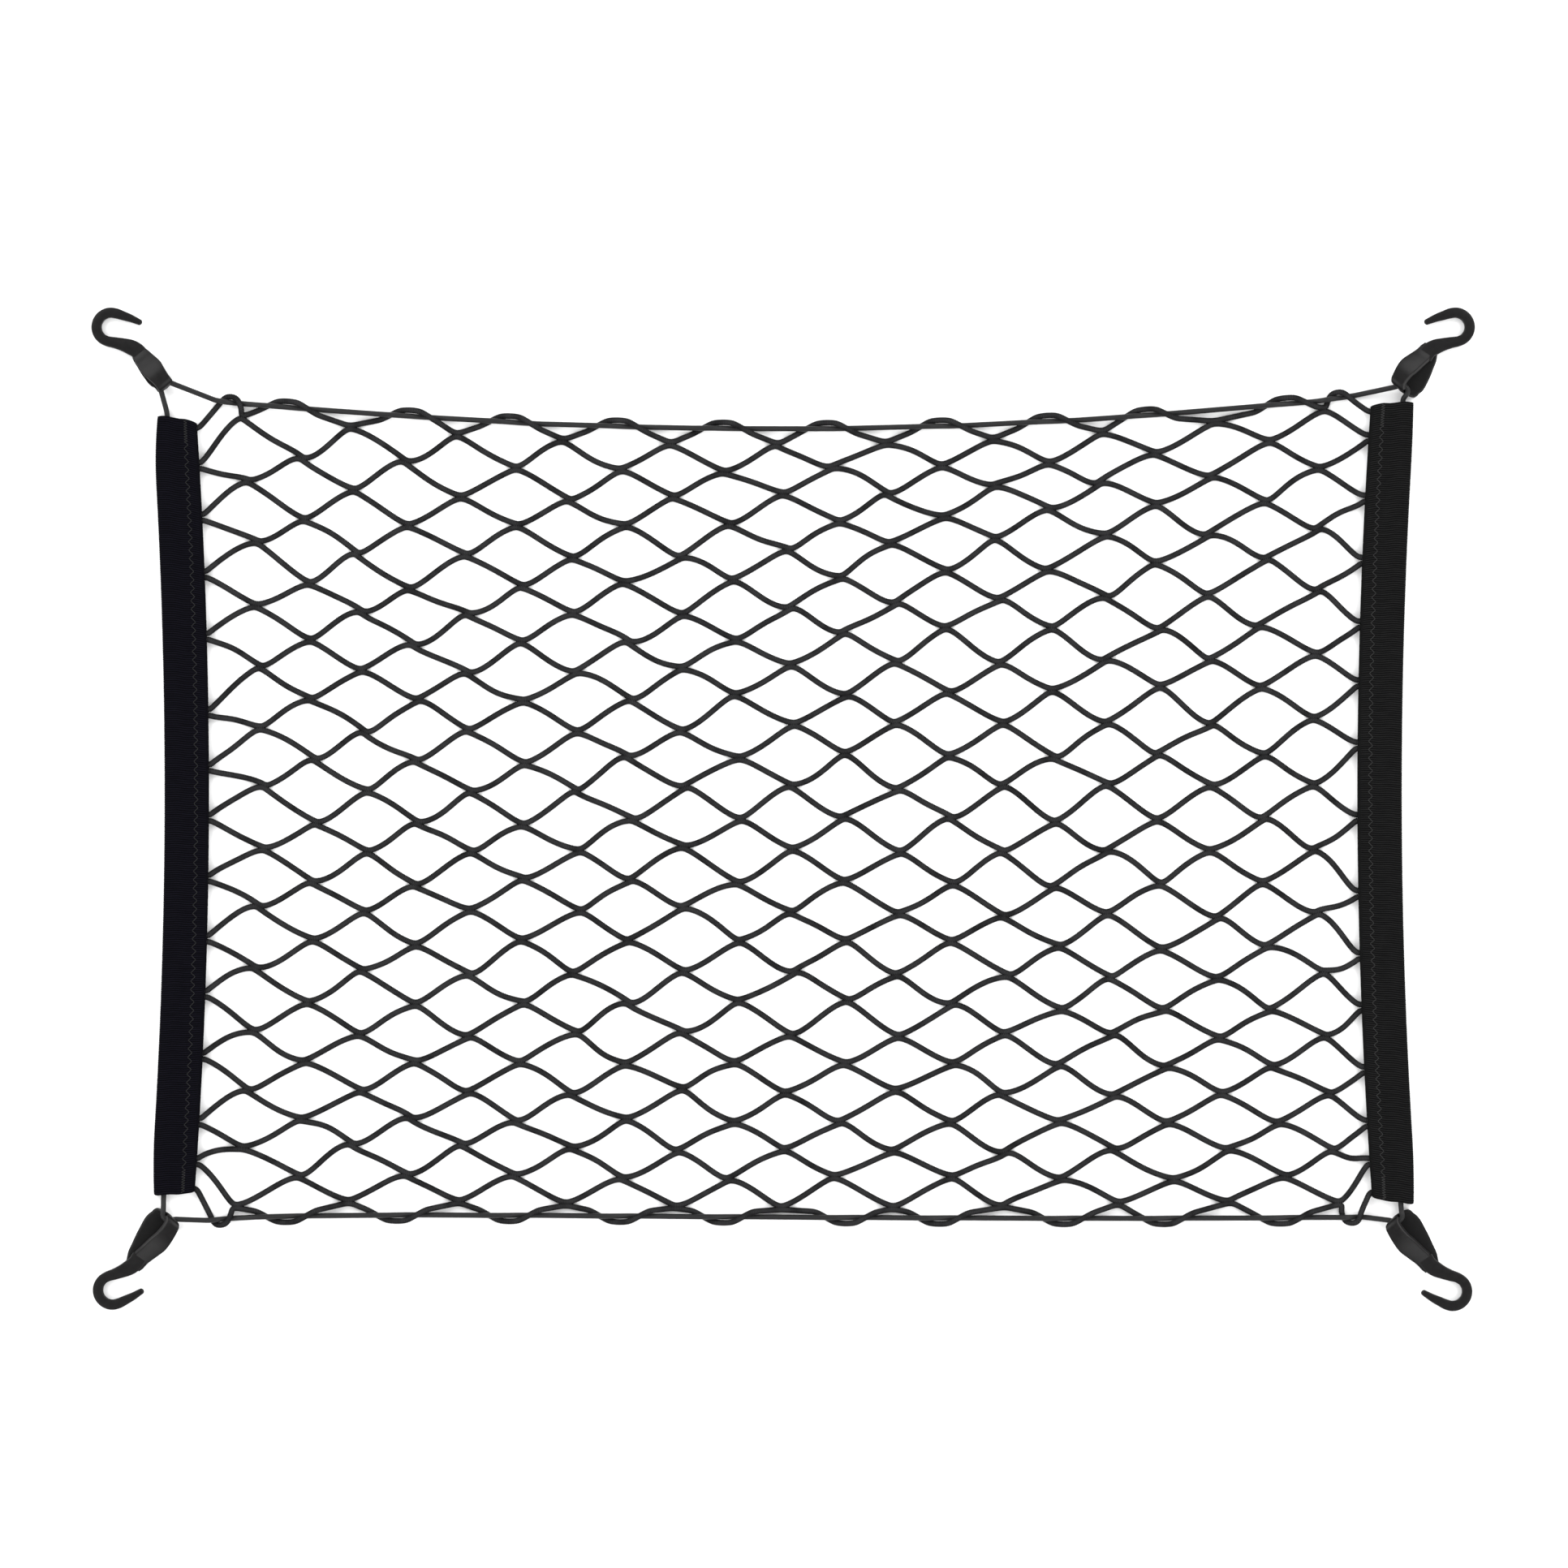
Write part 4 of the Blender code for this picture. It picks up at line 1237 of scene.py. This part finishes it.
    def strap_grid(self) -> Array:
        """Rounded rectangles carried along the strap's line, narrowed as a rolled strap looks, and
        leaned sideways with height: about the middle at the eye, and about the foot at the neck.

        Returns:
            Rings by points by three, along the strap, sideways and up.
        """
        line = curve_through(self.strap_line(), step=self.step)
        ahead, height, width = line.T
        run, rise = np.gradient(line[:, :2], axis=0).T
        size = np.hypot(run, rise)
        zero = np.zeros_like(ahead)
        half = np.full_like(ahead, self.strap_thickness / 2)
        share = np.clip(ahead / self.length, 0, 1)
        rolled = 1 / np.hypot(1, self.lean) ** self.roll_power
        width = width * (rolled + (1 - rolled) * share**self.roll_reach)
        aside, over = rounded_outline(width / 2, half, self.strap_edge * half, self.corner_steps)
        grid = swept(np.column_stack((ahead, zero, height)),
                     np.column_stack((zero, zero + 1, zero)),
                     np.column_stack((-rise / size, zero, run / size)), aside, over)
        still = self.height / 2 + (self.neck_still - self.height / 2) * share + (
            self.belly * np.sin(np.pi * share))
        grid[..., 1] += self.lean * (grid[..., 2] - still[:, None])
        return grid

    def body_line(self) -> Array:
        """Neck, shank, bowl and arm from above.

        Returns:
            Distance from the strap's end, sideways, width and height.
        """
        turned = np.radians(180 * np.arange(self.bowl_steps + 1) / self.bowl_steps - 90)
        centre_x, centre_y = self.bowl_centre
        bowl = np.column_stack((centre_x + self.bowl_radius * np.cos(turned),
                                centre_y + self.bowl_radius * np.sin(turned),
                                np.full_like(turned, self.bowl_width)))
        line = np.vstack((self.shank, bowl, self.arm))
        full = np.full(len(line), self.body_height)
        arm = len(self.arm)
        full[-arm:] *= (line[-arm:, 2] / self.bowl_width) ** self.arm_taper
        turn = self.hand * np.radians(self.bend)
        ahead, aside = line[:, 0], -self.hand * line[:, 1]
        placed = np.column_stack((self.length + ahead * np.cos(turn) - aside * np.sin(turn),
                                  ahead * np.sin(turn) + aside * np.cos(turn), line[:, 2], full))
        length, width = self.neck
        neck = [(self.length - length, 0, width, self.body_height),
                (self.length, 0, width, self.body_height)]
        return np.vstack((neck, placed))

    def body_grid(self) -> Array:
        """Rounded upright sections carried along the body's line, about its middle height.

        Returns:
            Rings by points by three, along the strap, sideways and up.
        """
        stations = self.body_line()
        length = lengths_along(stations[:, :2])[-1]
        rings = np.linspace(0, length - self.tip_radius, round(length / self.step))
        turned = np.arange(1, self.tip_steps + 1) / self.tip_steps * TURN / 4
        at = np.concatenate((rings, length - self.tip_radius * (1 - np.sin(turned))))
        line = curve_through(stations, at=at)
        tip = np.concatenate((np.ones_like(rings), np.maximum(np.cos(turned), self.tip_end)))
        centre = np.column_stack((line[:, :2], np.full(len(line), self.body_height / 2)))
        sideways, upward = directions(centre)
        half_width, half_height = line[:, 2] / 2 * tip, line[:, 3] / 2 * np.sqrt(tip)
        thin = self.thin_edge * np.minimum(half_width, half_height)
        radius = np.minimum(self.edge_radius, thin)
        aside, over = rounded_outline(half_width, half_height, radius, self.corner_steps)
        return swept(centre, sideways, upward, aside, over)

    def placed(self, grid: Array) -> Array:
        """Turn points to the hook's heading about the vertical, and move them to the strap's end.
        What the lean would press below the surface lies on it.

        Args:
            grid: Points along the strap, sideways and up.

        Returns:
            The same points in the part's frame.
        """
        turn = np.radians(self.heading)
        ahead, aside, up = np.moveaxis(grid, -1, 0)
        up = np.maximum(up, 0)
        return np.stack((self.x + ahead * np.cos(turn) - aside * np.sin(turn),
                         self.y + ahead * np.sin(turn) + aside * np.cos(turn), up), -1)

    def build(self) -> bpy.types.Object:
        """Make the hook.

        Returns:
            Its one piece.
        """
        surface = Surface()
        for grid in (self.strap_grid(), self.body_grid()):
            rings, points = grid.shape[:2]
            surface.cap(surface.add_grid(self.placed(grid), np.arange(rings) * self.step,
                                         np.arange(points + 1) / points))
        piece = surface.piece(f"moulded_hook_{self.name}", self.finish.material(), self.finish.uv)
        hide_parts(f"hook_{self.name}")
        return piece


HOOKS = (
    Hook("top_left", x=-356.6, y=243.6, heading=128.7,
         bend=35.0, hand=1, lean=-0.12, length=28.0, height=12.0),
    Hook("top_right", x=357.7, y=241.6, heading=55.9,
         bend=40.0, hand=-1, lean=0.95, length=29.0, height=12.0),
    Hook("bottom_right", x=354.4, y=-235.1, heading=-55.1,
         bend=31.5, hand=1, lean=-1.05, length=35.0, height=11.0),
    Hook("bottom_left", x=-355.2, y=-234.3, heading=235.0,
         bend=31.0, hand=-1, lean=1.05, length=35.0, height=11.0),
)


# ---------------------------------------------------------------- sleeves


@dataclass
class Sleeve:
    """Webbing folded in half lengthwise round the cord, sewn shut over the net's strands."""

    layout: Layout
    side: Side
    ends: tuple[float, float, float, float]     # y: top at fold, top at edge, bottom at fold, edge
    drawn_in: tuple[float, float]               # how far the ends are drawn in at the fold
    seam: SewingThread
    finish: RibbedWebbing
    drawn_in_over: float = 40.0     # length of sleeve over which that happens
    corner_slack: float = 1.1       # how far the corners of the ends are rounded off
    corner_sharpness: int = 10      # how closely the rounding keeps to the corners
    end_waves: float = 0.22         # unevenness of the ends
    top_wave: tuple[float, float] = (2.3, 0.1)          # its waves across, and turns at the fold
    bottom_wave: tuple[float, float] = (1.9, 0.6)
    rib: float = 1.29               # length of one rib along the webbing
    rib_relief: float = 0.09
    half_thickness: float = 0.56
    thin_edge: float = 0.45         # thickness of the two open edges, against the rest
    plain_edge: tuple[float, float] = (0.8, 2.6)        # from an open edge, where ribs set in
    seam_place: float = 18.6        # of the seam's middle from the fold
    seam_half: float = 1.3
    seam_dip: float = 0.16          # how deep the seam draws the upper layer in
    dip_radius: float = 1.2         # and how far to each side
    seam_margin: float = 0.8        # from the sleeve's ends to the seam's
    stitch: float = 4.9             # length of one zigzag
    tack: float = 1.5               # and of one in the dense tacks at the ends
    tack_length: float = 14.0
    thread_radius: float = 0.22
    thread_sides: int = 5
    thread_height: float = 0.2      # of its centre over the webbing, between two turns
    thread_bite: float = 0.42       # how much lower it is at a turn
    bite_sharpness: int = 16        # how closely that keeps to the turn
    thread_sample: float = 0.12     # between points of the seam's line
    thread_step: float = 0.5        # between rings of the thread
    thread_rounding: float = 0.3
    middle_layer: tuple[tuple[float, float], ...] = (
        # distance from the fold and height of the middle of the webbing, upper layer first
        (25.8, 5.4), (18.4, 5.4), (13.5, 4.4), (9.5, 5.25), (6.0, 5.35), (2.7, 5.05),
        (1.15, 4.2), (0.75, 2.95), (1.15, 1.75), (2.6, 0.95), (4.2, 0.68), (6.2, 0.66),
        (8.2, 0.66), (25.8, 0.66))
    stations: tuple[float, ...] = (
        # places along that section, closer together at its bends, its edges and the seam
        0.0, 0.45, 1.3, 2.6, 4.6, 5.5, 6.4, 7.3, 8.4, 10.4, 12.4, 15.0, 17.5, 20.0, 21.7, 22.9,
        23.9, 24.9, 25.9, 27.0, 28.6, 32.0, 40.0, 49.0, 49.8)

    def section(self) -> tuple[Array, Array, Array]:
        """The folded section: the smooth curve through its middle layer's points, and its normal.

        Returns:
            Distance from the fold and height at each station, the normal to the outside there,
            and the distance of each from the upper open edge.
        """
        layer = np.array(self.middle_layer)
        length = lengths_along(layer)[-1]
        at = np.array(self.stations) * length / self.stations[-1]
        line = curve_through(layer, at=at)
        from_seam = (line[:, 0] - self.seam_place) / self.dip_radius
        line[:, 1] -= self.seam_dip * np.exp(-from_seam**2) * (at < length / 2)
        along = np.gradient(line, at, axis=0)
        along /= np.linalg.norm(along, axis=1, keepdims=True)
        return line, np.column_stack((-along[:, 1], along[:, 0])), at

    def place(self, share: Array, across: Array, height: Array) -> Array:
        """Bring a place on the webbing to where it lies: straight between the slanted ends, which
        are a little wavy, drawn in at the fold with the square of the nearness to an end, and on
        the bowed centre line.

        Args:
            share: From the top end to the bottom end.
            across: Distance from the fold.
            height: Above the surface.

        Returns:
            Points in the part's frame.
        """
        top_fold, top_edge, bottom_fold, bottom_edge = self.ends
        inward = across / self.layout.sleeve_width
        top = top_fold + (top_edge - top_fold) * inward
        bottom = bottom_fold + (bottom_edge - bottom_fold) * inward
        slack = self.corner_slack * np.abs(2 * inward - 1) ** self.corner_sharpness
        top_wave, bottom_wave = (self.end_waves * np.sin(TURN * (waves * inward + start))
                                 for waves, start in (self.top_wave, self.bottom_wave))
        top = top - slack - top_wave
        bottom = bottom + slack + bottom_wave
        y = top + share * (bottom - top)
        near_top = np.maximum(1 - (top - y) / self.drawn_in_over, 0)
        near_bottom = np.maximum(1 - (y - bottom) / self.drawn_in_over, 0)
        drawn = self.drawn_in[0] * near_top**2 + self.drawn_in[1] * near_bottom**2
        inset = across + drawn * (1 - inward)
        half = self.layout.sleeve_width / 2
        x = self.layout.sleeve_centre(self.side, y) + self.side.value * (half - inset)
        return np.stack((x, y, np.broadcast_to(height, x.shape)), -1)

    @property
    def length(self) -> float:
        """Length along the middle of the sleeve."""
        top_fold, top_edge, bottom_fold, bottom_edge = self.ends
        return (top_fold + top_edge - bottom_fold - bottom_edge) / 2

    def webbing(self) -> Surface:
        """The folded webbing: the section's two skins, carried from the top end to the bottom end.
        Its thickness swells and shrinks by turns, two rings to a rib, but not on the plain edges.
        The left one's rings run the other way round, so that its faces look outwards too.

        Returns:
            The closed mesh.
        """
        line, normal, at = self.section()
        rings = 2 * round(self.length / self.rib) + 1
        share = np.linspace(0, 1, rings)[:, None]
        from_edge = np.minimum(at, at[-1] - at)
        ribbed = ease((from_edge - self.plain_edge[0]) / (self.plain_edge[1] - self.plain_edge[0]))
        half = np.full(len(at), self.half_thickness)
        half[[0, -1]] *= self.thin_edge
        swell = np.where(np.arange(rings) % 2 == 0, 1, -1)[:, None] * ribbed * self.rib_relief
        half = half + swell
        skins = []
        for out in (1, -1):
            across = line[:, 0] + out * half * normal[:, 0]
            height = line[:, 1] + out * half * normal[:, 1]
            skins.append(self.place(share, across, height))
        count = len(at)
        grid = np.concatenate((skins[0], skins[1][:, ::-1]), axis=1)
        around = np.concatenate((at, at[::-1], at[:1]))
        if self.side is Side.LEFT:
            grid = grid[:, ::-1]
        surface = Surface()
        numbers = surface.add_grid(grid, np.arange(rings) / 2, around)
        strip = np.arange(count - 1)
        other = 2 * count - 1 - strip
        ends = np.stack((strip, strip + 1, other - 1, other), -1)
        surface.add_faces(numbers[0][ends[:, ::-1]])
        surface.add_faces(numbers[-1][ends])
        surface.places[0] = surface.places[0][:, ::-1]
        return surface

    def seam_line(self) -> Array:
        """The zigzag seam: straight to and fro across the webbing, longer stitches in the middle
        and tacks at the ends, and into the webbing at each turn.

        Returns:
            Centre line of the thread.
        """
        line, _, at = self.section()
        upper = line[at < at[-1] / 2][::-1]
        down = np.arange(self.seam_margin, self.length - self.seam_margin, self.thread_sample)
        from_end = np.minimum(down, self.length - down)
        pace = np.where(from_end < self.tack_length, 1 / self.tack, 1 / self.stitch)
        phase = np.cumsum(pace) * self.thread_sample
        across = self.seam_place + self.seam_half * (4 * np.abs(phase % 1 - 0.5) - 1)
        skin = np.interp(across, *upper.T) + self.half_thickness
        turning = np.cos(phase * TURN) ** self.bite_sharpness
        height = skin + self.thread_height - self.thread_bite * turning
        return self.place(down / self.length, across, height)

    def thread(self) -> Surface:
        """A thin tube round the seam's line: cosine and sine of equal steps of a turn.

        Returns:
            The closed mesh.
        """
        line = resampled(self.seam_line(), self.thread_step)
        line = softened(line, self.thread_step, self.thread_rounding)
        sideways, upward = directions(line)
        angle = np.arange(self.thread_sides) * TURN / self.thread_sides
        grid = swept(line, sideways, upward, self.thread_radius * np.cos(angle),
                     self.thread_radius * np.sin(angle))
        surface = Surface()
        numbers = surface.add_grid(grid, np.arange(len(line)) * self.thread_step,
                                   np.arange(self.thread_sides + 1) / self.thread_sides)
        surface.cap(numbers)
        return surface

    def build(self) -> tuple[bpy.types.Object, bpy.types.Object]:
        """Make the sleeve and its seam.

        Returns:
            Both pieces.
        """
        name = self.side.name.lower()
        webbing = self.webbing().piece(f"webbing_{name}", self.finish.material(), self.finish.uv)
        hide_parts(f"sleeve_{name}")
        thread = self.thread().piece(f"seam_{name}", self.seam.material(), self.seam.uv)
        return webbing, thread


# ---------------------------------------------------------------- edge cord


@dataclass
class EdgeCord:
    """One ring of round elastic: both sleeves, the four eyes and the loops of the long edges."""

    layout: Layout
    hooks: tuple[Hook, ...]
    sleeves: dict[Side, Sleeve]
    finish: SmoothElastic = SmoothElastic()
    in_sleeve: float = 2.95         # height of its centre in a sleeve
    insets: dict[Side, tuple[float, float]] = field(default_factory=lambda: {
        # from a sleeve's fold to the cord, at the top end and at the bottom end
        Side.LEFT: (9.0, 8.1), Side.RIGHT: (7.4, 9.5)})
    past_sleeve: float = 1.5        # how far it runs on level out of a sleeve's end
    sleeve_steps: int = 11
    eye_pass: tuple[tuple[float, float], ...] = (
        # distance from the strap's end and sideways, round the inside of an eye
        (1.2, 3.6), (3.0, 2.9), (3.9, 1.5), (3.9, -1.5), (3.0, -2.9), (1.2, -3.6))
    step: float = 1.2
    rounding: float = 1.1
    sides: int = 10

    def through_eye(self, hook: Hook) -> Array:
        """The cord's points through a hook's eye, half-way up it and clockwise round the net.

        Args:
            hook: The hook.

        Returns:
            Centre points.
        """
        ahead, aside = np.array(self.eye_pass).T
        level = np.full_like(ahead, hook.height / 2)
        return hook.placed(np.column_stack((ahead, aside, level)))

    def along_edge(self, edge: Edge) -> Array:
        """The cord's points along a long edge, left to right: over each loop's left leg and under
        its right one.

        Args:
            edge: The long edge.

        Returns:
            Centre points.
        """
        layout = self.layout
        low = layout.cord_diameter / 2
        high = layout.strand_height + layout.gap + low
        loops = np.array(EDGE_LOOPS, float)[:, 1 if edge is Edge.TOP else 2]
        crossings = np.vstack((
            layout.corner_crossings(edge, Side.LEFT),
            loops[:, None] + layout.loop_crossings,
            layout.corner_crossings(edge, Side.RIGHT)))
        x = crossings.ravel()
        z = np.tile((high, high, low, low), len(crossings))
        return np.column_stack((x, layout.cord_line(edge, x), z))

    def through_sleeve(self, side: Side) -> Array:
        """The cord's points through a sleeve, top to bottom, closer together at its ends: heights
        go by half of one less the cosine of equal steps of a half turn.

        Args:
            side: The end of the net.

        Returns:
            Centre points.
        """
        top, _, bottom, _ = self.sleeves[side].ends
        turned = np.pi * np.arange(self.sleeve_steps + 1) / self.sleeve_steps
        y = np.concatenate(([top + self.past_sleeve],
                            top + (0.5 - 0.5 * np.cos(turned)) * (bottom - top),
                            [bottom - self.past_sleeve]))
        inset_top, inset_bottom = self.insets[side]
        inset = inset_top + (top - y) / (top - bottom) * (inset_bottom - inset_top)
        x = self.layout.sleeve_centre(side, y) + side.value * (self.layout.sleeve_width / 2 - inset)
        return np.column_stack((x, y, np.full_like(x, self.in_sleeve)))

    def route(self) -> Array:
        """The whole ring, evenly sampled and with its bends rounded.

        Returns:
            Centre line, whose last point joins the first.
        """
        top_left, top_right, bottom_right, bottom_left = self.hooks
        line = np.vstack((
            self.through_eye(top_left), self.along_edge(Edge.TOP),
            self.through_eye(top_right), self.through_sleeve(Side.RIGHT),
            self.through_eye(bottom_right), self.along_edge(Edge.BOTTOM)[::-1],
            self.through_eye(bottom_left), self.through_sleeve(Side.LEFT)[::-1]))
        line = resampled(np.vstack((line, line[:1])), self.step)[:-1]
        return softened(line, self.step, self.rounding, ring=True)

    def build(self) -> bpy.types.Object:
        """Make the ring: a circle carried along the route.

        Returns:
            Its piece.
        """
        line = self.route()
        sideways, upward = directions(line, ring=True)
        angle = np.arange(self.sides) * TURN / self.sides
        radius = self.layout.cord_diameter / 2
        grid = swept(line, sideways, upward, radius * np.cos(angle), radius * np.sin(angle))
        surface = Surface()
        surface.add_grid(grid, np.arange(len(line) + 1) * self.step,
                         np.arange(self.sides + 1) / self.sides, ring=True)
        piece = surface.piece("round_elastic", self.finish.material(), self.finish.uv)
        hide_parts("edge_cord")
        LOG.info("%s: %.3f m round", piece.name, lengths_along(line)[-1] * MM)
        return piece


# ---------------------------------------------------------------- studio


@dataclass
class Studio:
    """Pale floor, soft light and the camera straight above."""

    seen_width: float = 908.0       # width of the view on the surface
    centre: tuple[float, float] = (0.47, 14.57)
    level: float = 4.0              # height at which the view is that wide
    lens: float = 200.0
    sensor: float = 36.0
    far_share: float = 4.0          # how far the camera sees, against its distance
    floor_size: float = 9.0         # in metres, as are the lights' places and size
    light_place: tuple[float, float, float] = (2.1, 1.9, 2.3)
    light_size: float = 2.6
    upper_power: float = 92.0       # watts of each of the two lights beyond the top edge
    lower_power: float = 66.0
    world_strength: float = 0.8
    finish: PaleFloor = PaleFloor()

    def floor(self) -> None:
        """A flat square under the net."""
        half = self.floor_size / 2
        mesh = bpy.data.meshes.new("floor")
        mesh.from_pydata([(-half, -half, 0), (half, -half, 0), (half, half, 0), (-half, half, 0)],
                         [], [(0, 1, 2, 3)])
        mesh.materials.append(self.finish.material())
        shown = bpy.data.objects.new("floor", mesh)
        bpy.context.scene.collection.objects.link(shown)

    def camera(self) -> None:
        """Camera above the middle of the view, at the distance that its lens asks for."""
        data = bpy.data.cameras.new("camera")
        data.lens = self.lens
        data.sensor_width = self.sensor
        distance = self.seen_width * self.lens / self.sensor
        data.clip_end = self.far_share * distance * MM
        camera = bpy.data.objects.new("camera", data)
        camera.location = (self.centre[0] * MM, self.centre[1] * MM, (distance + self.level) * MM)
        bpy.context.scene.collection.objects.link(camera)
        bpy.context.scene.camera = camera

    def light(self, edge: Edge, side: Side) -> None:
        """A square soft light over one corner of the floor, which faces the middle of the net.

        Args:
            edge: The long edge that it hangs beyond.
            side: The end of the net that it hangs beyond.
        """
        name = f"{'upper' if edge is Edge.TOP else 'lower'}_{side.name.lower()}"
        place = np.array(self.light_place) * (side.value, edge.value, 1)
        data = bpy.data.lights.new(name, "AREA")
        data.size = self.light_size
        data.energy = self.upper_power if edge is Edge.TOP else self.lower_power
        shown = bpy.data.objects.new(name, data)
        shown.location = place
        away = place / np.linalg.norm(place)
        shown.rotation_euler = (0, np.arccos(away[2]), np.arctan2(away[1], away[0]))
        shown.visible_camera = False
        bpy.context.scene.collection.objects.link(shown)

    def build(self) -> None:
        """Make floor, camera and lights, and show colours as they are."""
        self.floor()
        self.camera()
        for edge in Edge:
            for side in Side:
                self.light(edge, side)
        world = bpy.data.worlds.new("studio")
        world.use_nodes = True
        background = world.node_tree.nodes["Background"].inputs
        background["Color"].default_value = (1, 1, 1, 1)
        background["Strength"].default_value = self.world_strength
        bpy.context.scene.world = world
        bpy.context.scene.view_settings.view_transform = "Standard"


def main() -> None:
    """Build the studio and every piece of the net."""
    logging.basicConfig(level=logging.INFO, format="%(message)s")
    Studio().build()
    layout = Layout()
    # Painted shade: the left sleeve's webbing and thread are darker copies of the right one's, and
    # its webbing is a little bluer.
    left = Sleeve(
        layout, Side.LEFT, ends=(228.4, 224.6, -223.8, -222.4), drawn_in=(3.2, 2.2),
        seam=SewingThread("thread_painted_shade", dark=(0.002, 0.002, 0.002), light=(0.006, 0.006, 0.007)),
        finish=RibbedWebbing("webbing_painted_shade", crest=(0.0052, 0.0049, 0.0082)))
    right = Sleeve(
        layout, Side.RIGHT, ends=(236.3, 234.4, -229.0, -225.6), drawn_in=(1.0, 1.8),
        seam=SewingThread("grey_thread", light=(0.019, 0.019, 0.019)),
        finish=RibbedWebbing("black_webbing", crest=(0.0120, 0.0120, 0.0120)))
    pieces = [EdgeCord(layout, HOOKS, {Side.LEFT: left, Side.RIGHT: right}).build()]
    pieces += [*left.build(), *right.build()]
    pieces += [hook.build() for hook in HOOKS]
    pieces += StrandNet(layout).build()
    LOG.info("%d pieces", len(pieces))


if __name__ == "__main__":
    main()
